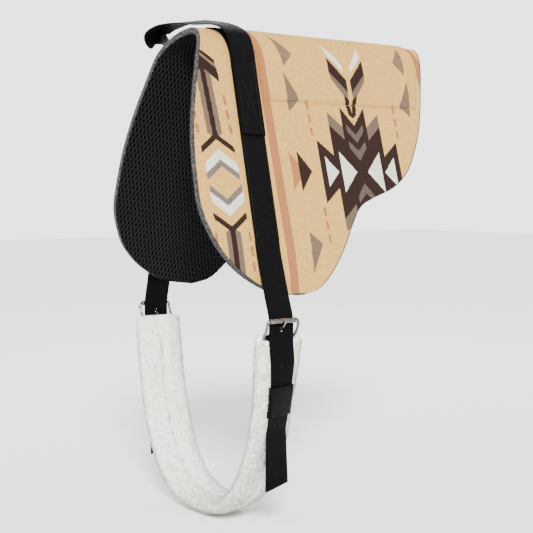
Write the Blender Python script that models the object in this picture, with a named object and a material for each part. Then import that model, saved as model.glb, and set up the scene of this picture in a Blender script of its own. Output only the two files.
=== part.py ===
"""Bareback pad: a folded saddle pad with its webbing rigging, fleece girth and roller buckles.

Metres, +Z up. -X is the front of the horse, -Y the near side. The origin is on the underside of
the fold at the middle of its length, where the pad lies on the back.

The pad is cut flat and folded, so each layer is a sheet in flat coordinates (along, across) that
fold_point() lays over the back. The webbing pieces are bands: a centre line with its width
direction. The girth hangs in a U between the two buckles.
"""
import math

import bmesh
import bpy
import numpy as np

MM = 0.001

# Pad cut
spine_length = 530 * MM
half_drop = 524 * MM
crown_radius = 78 * MM
flank_lean = math.radians(15.5)
skirt_lean = math.radians(6.0)
skirt_share = 0.80

# Layers, from the horse outwards
liner_thickness = 2.0 * MM
felt_thickness = 9.0 * MM
cover_thickness = 2.0 * MM
seat_thickness = 4.0 * MM
seat_inset = 12.0 * MM
seat_feather = 26.0 * MM
insert_inset = 5.0 * MM
insert_edge = 2.4 * MM
seat_half_width = 176 * MM
seat_start = 97 * MM
seat_end = 500 * MM
gap = 0.3 * MM

# Webbing
webbing_width = 50.8 * MM
webbing_thickness = 3.0 * MM
strap_ridge_place = 66 * MM
strap_hem_place = 54 * MM
strap_leaves_share = 0.865
strap_row_share = 0.01
handle_width = 50.8 * MM
tail_length = 244 * MM
tail_hang_lean = math.radians(4.0)
tail_slant_share = 0.16
tail_slot_share = 0.46

# Buckles
strap_free_spread = 38.7 * MM
strap_free_drop = 107.57 * MM
buckle_place = 50 * MM
buckle_height = 32 * MM
buckle_lean = math.radians(25.0)
buckle_inner_width = 60 * MM
buckle_wire = 5.0 * MM
buckle_corner = 4.0 * MM
buckle_bow = 3.0 * MM
roller_outer = 9.0 * MM
roller_bore = 5.8 * MM
roller_length = 55.0 * MM
tongue_wire = 3.4 * MM
tongue_width = 4.4 * MM
tongue_slot_width = 6.0 * MM
tongue_slot_length = 15.0 * MM
split_radius = 42 * MM
split_gap = 1.0 * MM
roller_edge = 0.6 * MM
heel_notch = 23.4 * MM

# Girth
girth_top_inset = 15 * MM
girth_top_drop = 41 * MM
girth_drop = 348 * MM
girth_turn = math.radians(13.0)
girth_turn_length = 110 * MM
fleece_width = 92 * MM
fleece_thickness = 27 * MM
fleece_bore_width = 54 * MM
fleece_bore_thickness = 8.4 * MM
fleece_mouth_share = 0.62
fleece_mouth_length = 28 * MM
fleece_seam_depth = 4.0 * MM
keeper_height = 48 * MM
keeper_wall = 2.0 * MM
keeper_place = 68 * MM
keeper_clearance = 0.6 * MM

# Hand-chosen outline of half the cut: share of spine_length, share of half_drop
front_edge_shares = ((0.0, 0.0), (-0.058, 0.19), (-0.107, 0.37), (-0.131, 0.50), (-0.140, 0.62),
                     (-0.140, 0.70), (-0.122, 0.77), (-0.083, 0.85), (-0.010, 0.925),
                     (0.090, 0.98), (0.210, 1.0))
rear_edge_shares = ((1.0, 0.0), (0.972, 0.08), (0.938, 0.16), (0.915, 0.25), (0.885, 0.36),
                    (0.845, 0.46), (0.775, 0.57), (0.690, 0.635), (0.590, 0.672),
                    (0.520, 0.705), (0.468, 0.77), (0.415, 0.85), (0.355, 0.925),
                    (0.290, 0.98), (0.210, 1.0))
# The grab loop's free run from near to far, in shares of crown_radius: across, up
handle_path_shares = ((-1.00, -0.50), (-0.82, -0.14), (-0.42, 0.07), (0.10, 0.16), (0.72, 0.26),
                      (1.36, 0.23), (1.80, 0.13), (1.95, -0.03), (1.84, -0.18), (1.58, -0.27),
                      (1.32, -0.40), (1.13, -0.60))
# Its drift along the horse: share of its free run, share of handle_width
handle_drift_shares = ((0.0, 0.0), (0.19, -0.10), (0.50, -0.72), (0.65, -0.50), (0.87, -0.08),
                       (1.0, 0.0))
handle_root_start = 112 * MM
handle_root_length = 130 * MM
# Places of the sheets' rows, shares of half_drop
row_shares = (0.0, 0.03, 0.06, 0.09, 0.12, 0.15, 0.18, 0.215, 0.25, 0.37, 0.43, 0.49, 0.55, 0.60,
              0.64, 0.67, 0.70, 0.74, 0.79, 0.84, 0.89, 0.93, 0.96, 0.985, 0.997)
seat_row_shares = (0.0, 0.28, 0.65, 1.0)
# Girth path's inner control points: share of girth_half_width, share of girth_bottom
girth_pull_shares = ((0.53, 1.0), (0.87, 0.93))
girth_steps = 32
# Half the sleeve's section from its front edge: share of half its width, side it faces
section_shares = ((-1.0, 0), (-0.96, 1), (-0.80, 1), (-0.45, 1), (0.0, 1), (0.45, 1), (0.80, 1),
                  (0.96, 1), (1.0, 0), (0.96, -1), (0.80, -1), (0.45, -1), (0.10, -1), (0.0, -1),
                  (-0.10, -1), (-0.45, -1), (-0.80, -1), (-0.96, -1))
section_power = 3.2
bore_power = 12
# The tongue's shank between its ring and its tip, shares of buckle_height: out, up
tongue_shares = ((-0.085, 0.27), (0.04, 0.52), (0.15, 0.77))
ramp_shares = (0.0, 0.35, 0.70, 1.0)
pad_depth = liner_thickness + felt_thickness + cover_thickness + 2 * gap


def smooth_curve(points, count):
    """Catmull-Rom curve through points, count samples to each span."""
    p = np.asarray(points, float)
    p = np.vstack([2 * p[0] - p[1], p, 2 * p[-1] - p[-2]])
    t = np.linspace(0, 1, count, endpoint=False)[:, None]
    spans = []
    for a, b, c, d in zip(p[:-3], p[1:-2], p[2:-1], p[3:]):
        spans.append(0.5 * (2 * b + (c - a) * t + (2 * a - 5 * b + 4 * c - d) * t ** 2
                            + (3 * b - a - 3 * c + d) * t ** 3))
    return np.vstack(spans + [p[-2:-1]])


def fold_table():
    """Half section of the folded pad's top surface: run, reach and fall from the ridge."""
    share = np.linspace(0, 1, 1201)
    run = share * half_drop
    flank = math.pi / 2 - flank_lean
    skirt = math.pi / 2 - skirt_lean
    turn_end = crown_radius * flank
    angle = np.minimum(run / crown_radius, flank)
    skirt_turn = np.clip((share - skirt_share) / (1 - skirt_share), 0, 1)
    angle = angle + (run > turn_end) * skirt_turn * (skirt - flank)
    step = run[1] - run[0]
    middle = 0.5 * (angle[1:] + angle[:-1])
    reach = np.concatenate([[0], np.cumsum(np.cos(middle) * step)])
    fall = np.concatenate([[0], np.cumsum(np.sin(middle) * step)])
    return run, reach, fall, angle


FOLD = fold_table()


def fold_point(along, across, height):
    """Lay flat coordinates over the back; height is measured outwards from the cover's top."""
    run, reach, fall, angle = FOLD
    side = np.sign(across)
    far = np.abs(across)
    turn = np.interp(far, run, angle)
    y = side * (np.interp(far, run, reach) + height * np.sin(turn))
    z = pad_depth - np.interp(far, run, fall) + height * np.cos(turn)
    return np.stack([along - spine_length / 2 + 0 * y, y, z], -1)


def cut_edges(across):
    """Front and rear edge of the cut at a distance across from the ridge."""
    scale = np.array([spine_length, half_drop])
    share = np.abs(across)
    front, rear = (smooth_curve(np.vstack([half[3:0:-1] * [1, -1], half]) * scale, 24)
                   for half in (np.array(front_edge_shares), np.array(rear_edge_shares)))
    return np.interp(share, front[:, 1], front[:, 0]), np.interp(share, rear[:, 1], rear[:, 0])


def seat_rise(along, across, inset=0.0):
    """How far the cover stands up over the seat insert: steep at its seam, full inside."""
    end = np.minimum(seat_end, cut_edges(across)[1] - seat_inset)
    inside = np.minimum(np.minimum(along - seat_start, end - along),
                        seat_half_width - np.abs(across)) - inset
    share = np.clip(inside / seat_feather, 0, 1)
    return (seat_thickness + gap) * share * (2 - share)


def sheet_rows():
    """Distances across the cut where the sheets have their rows, far edge to far edge."""
    seat = seat_half_width - seat_feather * np.array(seat_row_shares)
    half = np.array(row_shares) * half_drop
    clear = np.abs(half[:, None] - seat).min(axis=1) > seat_feather / 4
    half = np.sort(np.concatenate([half[clear], seat]))
    return np.concatenate([-half[:0:-1], half])


def make_material(name, colour, roughness, metallic=0.0):
    """Principled material of one colour."""
    material = bpy.data.materials.new(name)
    material.use_nodes = True
    shader = material.node_tree.nodes["Principled BSDF"]
    shader.inputs["Base Color"].default_value = (*colour, 1.0)
    shader.inputs["Roughness"].default_value = roughness
    shader.inputs["Metallic"].default_value = metallic
    material.diffuse_color = (*colour, 1.0)
    return material


def add_object(name, points, faces, material, pivot=(0.0, 0.0, 0.0)):
    """One closed object with its origin at pivot, faces turned outwards."""
    mesh = bpy.data.meshes.new(name)
    pivot = np.asarray(pivot, float)
    mesh.from_pydata((np.asarray(points, float) - pivot).tolist(), [], faces)
    shape = bmesh.new()
    shape.from_mesh(mesh)
    bmesh.ops.recalc_face_normals(shape, faces=shape.faces)
    shape.to_mesh(mesh)
    shape.free()
    mesh.materials.append(material)
    mesh.shade_smooth()
    mesh.set_sharp_from_angle(angle=math.radians(40))
    item = bpy.data.objects.new(name, mesh)
    item.location = pivot
    bpy.context.collection.objects.link(item)
    return item


def grid_faces(rows, columns, closed=False):
    """Quads of a rows by columns grid; closed joins the last column to the first."""
    last = columns if closed else columns - 1
    return [(r * columns + c, r * columns + (c + 1) % columns,
             (r + 1) * columns + (c + 1) % columns, (r + 1) * columns + c)
            for r in range(rows - 1) for c in range(last)]


def sheet(name, under, over, rows, columns, material):
    """A closed sheet between two rows by columns grids of points."""
    count = rows * columns
    faces = [tuple(reversed(f)) for f in grid_faces(rows, columns)]
    faces += [tuple(i + count for i in f) for f in grid_faces(rows, columns)]
    rim = [c for c in range(columns)]
    rim += [r * columns + columns - 1 for r in range(1, rows)]
    rim += [(rows - 1) * columns + c for c in range(columns - 2, -1, -1)]
    rim += [r * columns for r in range(rows - 2, 0, -1)]
    faces += [(a, b, b + count, a + count) for a, b in zip(rim, rim[1:] + rim[:1])]
    points = np.vstack([under.reshape(-1, 3), over.reshape(-1, 3)])
    return add_object(name, points, faces, material)


def sweep(name, rings, material, closed=False, pivot=(0.0, 0.0, 0.0)):
    """Skin rings of points into a tube, with flat ends unless the path closes on itself."""
    rings = np.asarray(rings, float)
    rows, columns = rings.shape[:2]
    faces = grid_faces(rows, columns, closed=True)
    if closed:
        faces += [((rows - 1) * columns + c, (rows - 1) * columns + (c + 1) % columns,
                   (c + 1) % columns, c) for c in range(columns)]
    else:
        faces += [tuple(range(columns)), tuple(range((rows - 1) * columns, rows * columns))]
    return add_object(name, rings.reshape(-1, 3), faces, material, pivot)


def band_rings(centre, sideways, width, thickness):
    """Four-cornered rings of a webbing band along centre, its width along sideways."""
    forward = np.gradient(centre, axis=0)
    forward /= np.linalg.norm(forward, axis=1)[:, None]
    normal = np.cross(forward, sideways)
    normal /= np.linalg.norm(normal, axis=1)[:, None]
    half_width = 0.5 * width * sideways
    half_depth = 0.5 * thickness * normal
    return np.stack([centre + half_width + half_depth, centre - half_width + half_depth,
                     centre - half_width - half_depth, centre + half_width - half_depth], 1)


def wire_rings(centre, radius_in, radius_out, axis, sides, closed=False):
    """Elliptic rings along centre: radius_in in the path's plane, radius_out along axis."""
    forward = np.gradient(centre, axis=0)
    if closed:
        forward = np.roll(centre, -1, axis=0) - np.roll(centre, 1, axis=0)
    forward /= np.linalg.norm(forward, axis=1)[:, None]
    axis = np.asarray(axis, float)
    across = np.cross(axis[None, :], forward)
    turn = np.linspace(0, 2 * math.pi, sides, endpoint=False)
    return (centre[:, None, :] + radius_in * np.cos(turn)[None, :, None] * across[:, None, :]
            + radius_out * np.sin(turn)[None, :, None] * axis[None, None, :])


def subtract(item, cutter):
    """Cut cutter out of item and keep the cutter as a hidden guide."""
    cutter.hide_render = True
    cutter.display_type = "WIRE"
    cut = item.modifiers.new("Cut", "BOOLEAN")
    cut.operation = "DIFFERENCE"
    cut.solver = "EXACT"
    cut.object = cutter
    return item


def block(name, centre, size, material, tilt=0.0):
    """A box about centre, turned by tilt about X."""
    corners = np.array([(x, y, z) for x in (-0.5, 0.5) for y in (-0.5, 0.5)
                        for z in (-0.5, 0.5)]) * np.asarray(size, float)
    turn = np.array([[1, 0, 0], [0, math.cos(tilt), -math.sin(tilt)],
                     [0, math.sin(tilt), math.cos(tilt)]])
    faces = [(0, 1, 3, 2), (4, 6, 7, 5), (0, 4, 5, 1), (2, 3, 7, 6), (0, 2, 6, 4), (1, 5, 7, 3)]
    return add_object(name, corners @ turn.T + np.asarray(centre, float), faces, material)


def clear_scene():
    """Take every object out of the scene."""
    for item in list(bpy.data.objects):
        bpy.data.objects.remove(item, do_unlink=True)


def cover_columns(rows, margin, count_between):
    """Places along the horse of the seat's columns in each row, edges and ramps included."""
    front, rear = cut_edges(rows)
    start = seat_start + margin + 0 * rows
    end = np.minimum(seat_end, rear - seat_inset) - margin
    ramp = (seat_feather - margin) * np.array(ramp_shares)
    rise = [start + step for step in ramp]
    level = [start + ramp[-1] + (end - start - 2 * ramp[-1]) * share
             for share in np.linspace(0, 1, count_between + 2)[1:-1]]
    return front, rear, np.stack(rise + level + [end - step for step in ramp[::-1]], 1)


def make_pad(materials):
    """The four layers: liner, felt, seat insert and woven cover, all on the same rows."""
    rows = sheet_rows()
    front, rear, seat = cover_columns(rows, 0.0, 2)
    seat = np.column_stack([front, seat, rear])
    plain = front[:, None] + (rear - front)[:, None] * np.linspace(0, 1, seat.shape[1])
    along = np.where(np.abs(rows)[:, None] < seat_half_width + seat_feather / 4, seat, plain)
    across = rows[:, None] + 0 * along
    rise = seat_rise(along, across)
    sheet("top_cover", fold_point(along, across, rise - cover_thickness),
          fold_point(along, across, rise), *along.shape, materials["cover"])

    plain = front[:, None] + (rear - front)[:, None] * np.linspace(0, 1, 3)
    across = rows[:, None] + 0 * plain
    felt_top = -cover_thickness - gap
    felt_bottom = felt_top - felt_thickness
    sheet("felt_core", fold_point(plain, across, felt_bottom), fold_point(plain, across, felt_top),
          *plain.shape, materials["felt"])
    sheet("grip_liner", fold_point(plain, across, felt_bottom - gap - liner_thickness),
          fold_point(plain, across, felt_bottom - gap), *plain.shape, materials["liner"])

    margin = insert_inset + insert_edge
    rows = rows[np.abs(rows) < seat_half_width - margin]
    along = cover_columns(rows, margin, 1)[2]
    across = rows[:, None] + 0 * along
    top = seat_rise(along, across, insert_inset) - cover_thickness - gap
    sheet("seat_insert", fold_point(along, across, -cover_thickness),
          fold_point(along, across, top), *along.shape, materials["foam"])


def strap_leave(height=0.0):
    """Y and Z of the place where the strap leaves the far flank, height above the cover."""
    return fold_point(0.0, strap_leaves_share * half_drop, height)[1:]


buckle_reach = strap_leave()[0] + strap_free_spread
buckle_drop = pad_depth - strap_leave()[1] + strap_free_drop
girth_half_width = buckle_reach - girth_top_inset
girth_top = buckle_drop + girth_top_drop
girth_bottom = buckle_drop + girth_drop


def buckle_point(side, out, up):
    """Local buckle coordinates, outwards and up from the heel bar, to the part's Y and Z."""
    out, up = np.asarray(out, float), np.asarray(up, float)
    heel_y = buckle_reach - buckle_height * math.sin(buckle_lean)
    heel_z = pad_depth - buckle_drop - buckle_height * math.cos(buckle_lean)
    y = heel_y + out * math.cos(buckle_lean) + up * math.sin(buckle_lean)
    z = heel_z - out * math.sin(buckle_lean) + up * math.cos(buckle_lean)
    return np.stack([side * y, z], -1)


def place_along(along_cut):
    """Distance along the cut to X."""
    return along_cut - spine_length / 2


def girth_half():
    """Half of the girth's centre line, from its top to its bottom: distance, Y, Z."""
    t = np.linspace(1, 0, 801)[:, None]
    (pull_y, pull_z), (lift_y, lift_z) = girth_pull_shares
    knots = np.array([[0, girth_bottom], [pull_y * girth_half_width, pull_z * girth_bottom],
                      [lift_y * girth_half_width, lift_z * girth_bottom],
                      [girth_half_width, girth_top]])
    weights = np.hstack([(1 - t) ** 3, 3 * t * (1 - t) ** 2, 3 * t * t * (1 - t), t ** 3])
    line = weights @ knots
    line[:, 1] = pad_depth - line[:, 1]
    run = np.concatenate([[0], np.cumsum(np.linalg.norm(np.diff(line, axis=0), axis=1))])
    return run, line


GIRTH_RUN, GIRTH_LINE = girth_half()
girth_length = 2 * GIRTH_RUN[-1]


def girth_frame(distance):
    """Points, outward normals of the girth at distances from its near top to its far top."""
    distance = np.asarray(distance, float)
    near = distance <= GIRTH_RUN[-1]
    run = np.where(near, distance, girth_length - distance)
    y = np.interp(run, GIRTH_RUN, GIRTH_LINE[:, 0])
    z = np.interp(run, GIRTH_RUN, GIRTH_LINE[:, 1])
    slope = np.gradient(GIRTH_LINE, GIRTH_RUN, axis=0)
    out_y = np.interp(run, GIRTH_RUN, -slope[:, 1])
    out_z = np.interp(run, GIRTH_RUN, slope[:, 0])
    side = np.where(near, -1.0, 1.0)
    normal = np.stack([side * out_y, out_z], -1)
    normal /= np.linalg.norm(normal, axis=-1)[..., None]
    return np.stack([side * y, z], -1), normal


def girth_twist(distance):
    """How far the near half hangs turned about its own line; it is level again at the bottom."""
    rise = np.clip(distance / girth_turn_length, 0, 1)
    fade = np.clip((girth_length / 2 - distance) / (girth_length / 2 - girth_turn_length), 0, 1)
    return girth_turn * rise ** 2 * (3 - 2 * rise) * fade * (2 - fade)


def girth_axes(distance):
    """The girth's own axes at distances along it: across its width, and outwards."""
    out = girth_frame(distance)[1]
    turn = girth_twist(np.asarray(distance, float))[..., None]
    return (np.concatenate([np.cos(turn), -np.sin(turn) * out], -1),
            np.concatenate([np.sin(turn), np.cos(turn) * out], -1))


def girth_point(distance, across, height):
    """Points of the girth at a distance along it, across its width and outwards from its line."""
    line = girth_frame(distance)[0]
    line = np.concatenate([np.full(line.shape[:-1] + (1,), place_along(buckle_place)), line], -1)
    wide, out = girth_axes(distance)
    return line + np.asarray(across)[..., None] * wide + np.asarray(height)[..., None] * out


def girth_stations():
    """Even distances along the girth, with one at its bottom."""
    return np.linspace(0, girth_length, girth_steps + 1)


def sleeve_depth(distance):
    """Half the sleeve's thickness, drawn in towards each mouth."""
    end = np.minimum(distance, girth_length - distance)
    share = np.clip(end / fleece_mouth_length, 0, 1)
    return 0.5 * fleece_thickness * (fleece_mouth_share + (1 - fleece_mouth_share) * share)


def strap_middle(across):
    """The strap's middle along the horse, at a distance across from the ridge."""
    share = np.abs(across) / (strap_leaves_share * half_drop)
    return strap_ridge_place + (strap_hem_place - strap_ridge_place) * share


def make_strap(materials):
    """Webbing sewn over the ridge, free below each hem down to the split above the buckle."""
    rows = sheet_rows()
    rows = rows[np.abs(rows) < (strap_leaves_share - strap_row_share) * half_drop]
    leave = strap_leaves_share * half_drop
    rows = np.concatenate([[-leave], rows, [leave]])
    share = np.linspace(-0.5, 0.5, 7)
    along = strap_middle(rows)[:, None] + webbing_width * share
    across = rows[:, None] + 0 * along
    under = fold_point(along, across, gap)
    over = fold_point(along, across, gap + webbing_thickness)
    ends = [strap_end(side, share, split_radius + split_gap) for side in (-1, 1)]
    under = np.concatenate([ends[0][0][None], under, ends[1][0][None]])
    over = np.concatenate([ends[0][1][None], over, ends[1][1][None]])
    sheet("rigging_strap", under, over, len(rows) + 2, len(share), materials["webbing"])


def strap_line(side):
    """The strap's free run to the back of the roller: start, direction, normal and end."""
    leave = strap_leave(gap + webbing_thickness / 2) * [side, 1]
    back = roller_outer / 2 + webbing_thickness / 2 + 4 * gap
    goal = buckle_point(side, -back, buckle_height)
    forward = (goal - leave) / np.linalg.norm(goal - leave)
    normal = side * np.array([-forward[1], forward[0]])
    return leave, forward, normal, goal


def strap_end(side, share, radius):
    """Under and over rows where an arc about the girth's swing axis cuts the free run."""
    leave, forward, normal, _ = strap_line(side)
    offset = webbing_width * share
    level = pad_depth - buckle_drop + np.sqrt(radius ** 2 - offset ** 2)
    found = []
    for height in (-webbing_thickness / 2, webbing_thickness / 2):
        reach = (level - leave[1] - normal[1] * height) / forward[1]
        line = leave + reach[:, None] * forward + normal * height
        found.append(np.column_stack([place_along(buckle_place) + offset, line]))
    return found


def make_tail(side, name, materials):
    """The strap's free end: behind the roller, over the heel bar and down the girth."""
    share = np.linspace(-0.5, 0.5, 7)
    under, over = (list(rows) for rows in zip(strap_end(side, share, split_radius)))
    _, _, normal, goal = strap_line(side)
    front = buckle_wire / 2 + 1.5 * webbing_thickness + 5 * gap
    heel = buckle_point(side, front, 0.0)
    heel_normal = buckle_point(side, 1.0, 0.0) - buckle_point(side, 0.0, 0.0)
    stations = girth_stations()
    held = stations < keeper_place + keeper_height + fleece_mouth_length
    hang = tail_length - stations[held][-1]
    stations = stations[held]
    on_girth = stations if side < 0 else girth_length - stations
    line = girth_point(on_girth, 0 * stations,
                       sleeve_depth(stations) + gap + webbing_thickness / 2)
    wide, out = girth_axes(on_girth)
    down = np.array([0.0, -side * math.sin(tail_hang_lean), -math.cos(tail_hang_lean)])
    fall = line[-1] + hang * np.linspace(0, 1, 6)[1:, None] * down
    hang_out = np.cross(down, wide[-1]) * -side
    x = place_along(buckle_place)
    centre = np.vstack([[x, *goal], [x, *heel], line, fall])
    normals = np.vstack([[0.0, *(normal + heel_normal)], [0.0, *(heel_normal + out[0, 1:])], out,
                         np.tile(hang_out, (len(fall), 1))])
    normals /= np.linalg.norm(normals, axis=1)[:, None]
    wide = np.vstack([np.tile([1.0, 0.0, 0.0], (2, 1)), wide, np.tile(wide[-1], (len(fall), 1))])
    for point, away, sideways in zip(centre, normals, wide):
        for rows, height in ((under, -webbing_thickness / 2), (over, webbing_thickness / 2)):
            rows.append(point + away * height + webbing_width * share[:, None] * sideways)
    slant = webbing_width * tail_slant_share * share
    for rows in (under, over):
        rows[-1] = rows[-1] - slant[:, None] * down
    tail = sheet(name, np.array(under), np.array(over), len(under), len(share),
                 materials["webbing"])
    lean = math.atan2(-(goal - heel)[0], (goal - heel)[1])
    slot_at = heel + (goal - heel) * tail_slot_share
    cutter = block(name + "_slot", (place_along(buckle_place), *slot_at),
                   (tongue_slot_width, webbing_thickness * 3, tongue_slot_length),
                   materials["webbing"], lean)
    return subtract(tail, cutter), cutter


def make_handle(materials):
    """Grab loop: both roots flat on the strap, its slack run arched over the ridge."""
    height = 2 * gap + 1.5 * webbing_thickness
    root = handle_root_start + handle_root_length * np.linspace(1, 0, 4)
    near_root = fold_point(0.0, -root, height)[:, 1:]
    far_root = fold_point(0.0, root[::-1], height)[:, 1:]
    free = np.array(handle_path_shares) * crown_radius + np.array([0.0, pad_depth])
    line = smooth_curve(np.vstack([near_root[-1:], free, far_root[:1]]), 4)
    place = np.linspace(0, 1, len(line))
    drift = smooth_curve(np.array(handle_drift_shares), 12)
    drift = handle_width * np.interp(place, drift[:, 0], drift[:, 1])
    x = place_along(strap_middle(np.concatenate([root[:-1], handle_root_start + 0 * place,
                                                 root[-2::-1]])))
    x[len(root) - 1:len(root) - 1 + len(drift)] += drift
    centre = np.column_stack([x, np.vstack([near_root[:-1], line, far_root[1:]])])
    forward = np.gradient(centre, axis=0)
    forward /= np.linalg.norm(forward, axis=1)[:, None]
    sideways = np.array([1.0, 0.0, 0.0]) - forward[:, :1] * forward
    sideways /= np.linalg.norm(sideways, axis=1)[:, None]
    sweep("handle_strap", band_rings(centre, sideways, handle_width, webbing_thickness),
          materials["webbing"])


def make_buckle(side, prefix, materials):
    """Frame, roller and tongue of one roller buckle; returns them with their axes."""
    x0 = place_along(buckle_place)
    half = buckle_inner_width / 2 + buckle_wire / 2
    corner = buckle_corner
    high = buckle_height - corner
    path = []
    for middle_x, middle_up, start in ((half - corner, corner, -90), (half - corner, high, 0),
                                       (corner - half, high, 90), (corner - half, corner, 180)):
        for step in (0, 30, 60, 90):
            turn = math.radians(start + step)
            path.append((middle_x + corner * math.cos(turn), middle_up + corner * math.sin(turn)))
        if start in (-90, 90):
            path.append((math.copysign(half, middle_x), buckle_height / 2))
    path = np.array(path)
    bow = buckle_bow * np.sin(math.pi * path[:, 1] / buckle_height)
    ring = np.column_stack([x0 + path[:, 0], buckle_point(side, bow, path[:, 1])])
    out = np.array([0.0, *(buckle_point(side, 1.0, 0.0) - buckle_point(side, 0.0, 0.0))])
    radius = buckle_wire / 2
    frame = sweep(prefix + "_buckle_frame", wire_rings(ring, radius, radius, out, 10, True),
                  materials["metal"], closed=True)

    axle = buckle_point(side, 0.0, buckle_height)
    end = roller_length / 2
    rim = roller_outer / 2
    profile = ((-end, roller_bore / 2), (-end, rim - roller_edge), (roller_edge - end, rim),
               (end - roller_edge, rim), (end, rim - roller_edge), (end, roller_bore / 2))
    rings = []
    for turn in np.linspace(0, 2 * math.pi, 16, endpoint=False):
        rings.append([(x0 + x, axle[0] + r * math.cos(turn), axle[1] + r * math.sin(turn))
                      for x, r in profile])
    roller = sweep(prefix + "_buckle_roller", rings, materials["metal"], True, (x0, *axle))

    wrap = buckle_wire / 2 + gap + tongue_wire / 2
    turn = np.radians(np.linspace(420, 170, 12))
    tip = roller_outer / 2 + 1.5 * gap + tongue_wire / 2
    shank = np.vstack([np.array(tongue_shares) * buckle_height,
                       [[tip, buckle_height - roller_edge], [tip, buckle_height + tongue_wire]]])
    line = np.vstack([np.column_stack([wrap * np.cos(turn), wrap * np.sin(turn)]),
                      smooth_curve(shank, 3)])
    centre = np.column_stack([np.full(len(line), x0), buckle_point(side, line[:, 0], line[:, 1])])
    heel = buckle_point(side, 0.0, 0.0)
    rings = wire_rings(centre, tongue_wire / 2, tongue_width / 2, (1.0, 0.0, 0.0), 8)
    tongue = sweep(prefix + "_buckle_tongue", rings, materials["metal"], False, (x0, *heel))
    return frame, roller, tongue


def heel_loop(side):
    """Webbing centre line from its inner end, over the heel bar and on to the girth's top.

    The second result is each point's distance along the girth, which gives its width direction.
    """
    stations = girth_stations()[:3]
    stations = stations if side < 0 else girth_length - stations
    half_pair = webbing_thickness / 2 + gap
    inner = girth_point(stations, 0 * stations, 0 * stations - half_pair)[::-1]
    outer = girth_point(stations[:2], 0 * stations[:2], 0 * stations[:2] + half_pair)
    wrap = buckle_wire / 2 + gap + webbing_thickness / 2
    turn = np.radians(np.linspace(200, -20, 9))
    loop = buckle_point(side, wrap * np.cos(turn), wrap * np.sin(turn))
    loop = np.column_stack([np.full(len(loop), place_along(buckle_place)), loop])
    return (np.vstack([inner, loop, outer]),
            np.concatenate([stations[::-1], np.full(len(loop), stations[0]), stations[:2]]))


def make_girth(materials):
    """Load webbing looped round both heel bars, and the fleece sleeve over it."""
    stations = girth_stations()
    x0 = place_along(buckle_place)
    middle = stations[2:-2]
    (near_loop, near_at), (far_loop, far_at) = heel_loop(-1), heel_loop(1)
    centre = np.vstack([near_loop, girth_point(middle, 0 * middle, 0 * middle), far_loop[::-1]])
    sideways = girth_axes(np.concatenate([near_at, middle, far_at[::-1]]))[0]
    webbing = sweep("girth_webbing", band_rings(centre, sideways, webbing_width,
                                                webbing_thickness), materials["webbing"])
    notches = []
    for side in (-1, 1):
        heel = buckle_point(side, 0.0, 0.0)
        notch = block("heel_notch", (x0, *heel), (2 * tongue_width, heel_notch, heel_notch),
                      materials["webbing"])
        subtract(webbing, notch)
        notches.append(notch)

    shares, faces = np.array(section_shares).T
    rings = []
    for station in stations:
        deep = sleeve_depth(station)
        rise = np.clip(1 - np.abs(shares) ** section_power, 0, 1) ** (1 / section_power)
        crease = fleece_seam_depth * 2 * deep / fleece_thickness
        height = faces * deep * rise + crease * ((shares == 0) & (faces < 0))
        bore_rise = np.clip(1 - np.abs(shares) ** bore_power, 0, 1) ** (1 / bore_power)
        bore = faces * fleece_bore_thickness / 2 * bore_rise
        bore_x = np.sign(shares) * np.sqrt(np.abs(shares)) * fleece_bore_width / 2
        for across, out in ((shares * fleece_width / 2, height), (bore_x, bore)):
            rings.append(girth_point(station + 0 * across, across, out))
    sleeve = sleeve_mesh(np.array(rings[0::2]), np.array(rings[1::2]), materials["fleece"])
    return webbing, sleeve, notches


def sleeve_mesh(outer, inner, material):
    """A tube with a bore, open at both ends."""
    rows, columns = outer.shape[:2]
    count = rows * columns
    faces = grid_faces(rows, columns, closed=True)
    faces += [tuple(i + count for i in reversed(f)) for f in grid_faces(rows, columns, closed=True)]
    for row in (0, rows - 1):
        start = row * columns
        for c in range(columns):
            a, b = start + c, start + (c + 1) % columns
            faces.append((a, b, b + count, a + count))
    return add_object("fleece_sleeve", np.vstack([outer.reshape(-1, 3), inner.reshape(-1, 3)]),
                      faces, material)


def make_keeper(side, name, materials):
    """A stiff loop sewn to the girth that holds the strap's tail down."""
    distance = np.linspace(keeper_place, keeper_place + keeper_height, 4)
    distance = distance if side < 0 else girth_length - distance
    inner = webbing_width / 2 + keeper_clearance
    outer = inner + keeper_wall
    foot = fleece_thickness / 2 + gap
    roof = foot + webbing_thickness + 2 * keeper_clearance
    profile = ((-outer, foot), (-outer, roof + keeper_wall), (outer, roof + keeper_wall),
               (outer, foot), (inner, foot), (inner, roof), (-inner, roof), (-inner, foot))
    across, height = np.array(profile).T
    rings = girth_point(distance[:, None] + 0 * across, across, height)
    return sweep(name, rings, materials["keeper"])


def carry(items, name, axis_point):
    """Hang items on an empty at a joint's axis, where they are."""
    empty = bpy.data.objects.new(name, None)
    empty.location = axis_point
    bpy.context.collection.objects.link(empty)
    for item in items:
        item.parent = empty
        item.location = np.array(item.location) - np.array(axis_point)
    return empty


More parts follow.
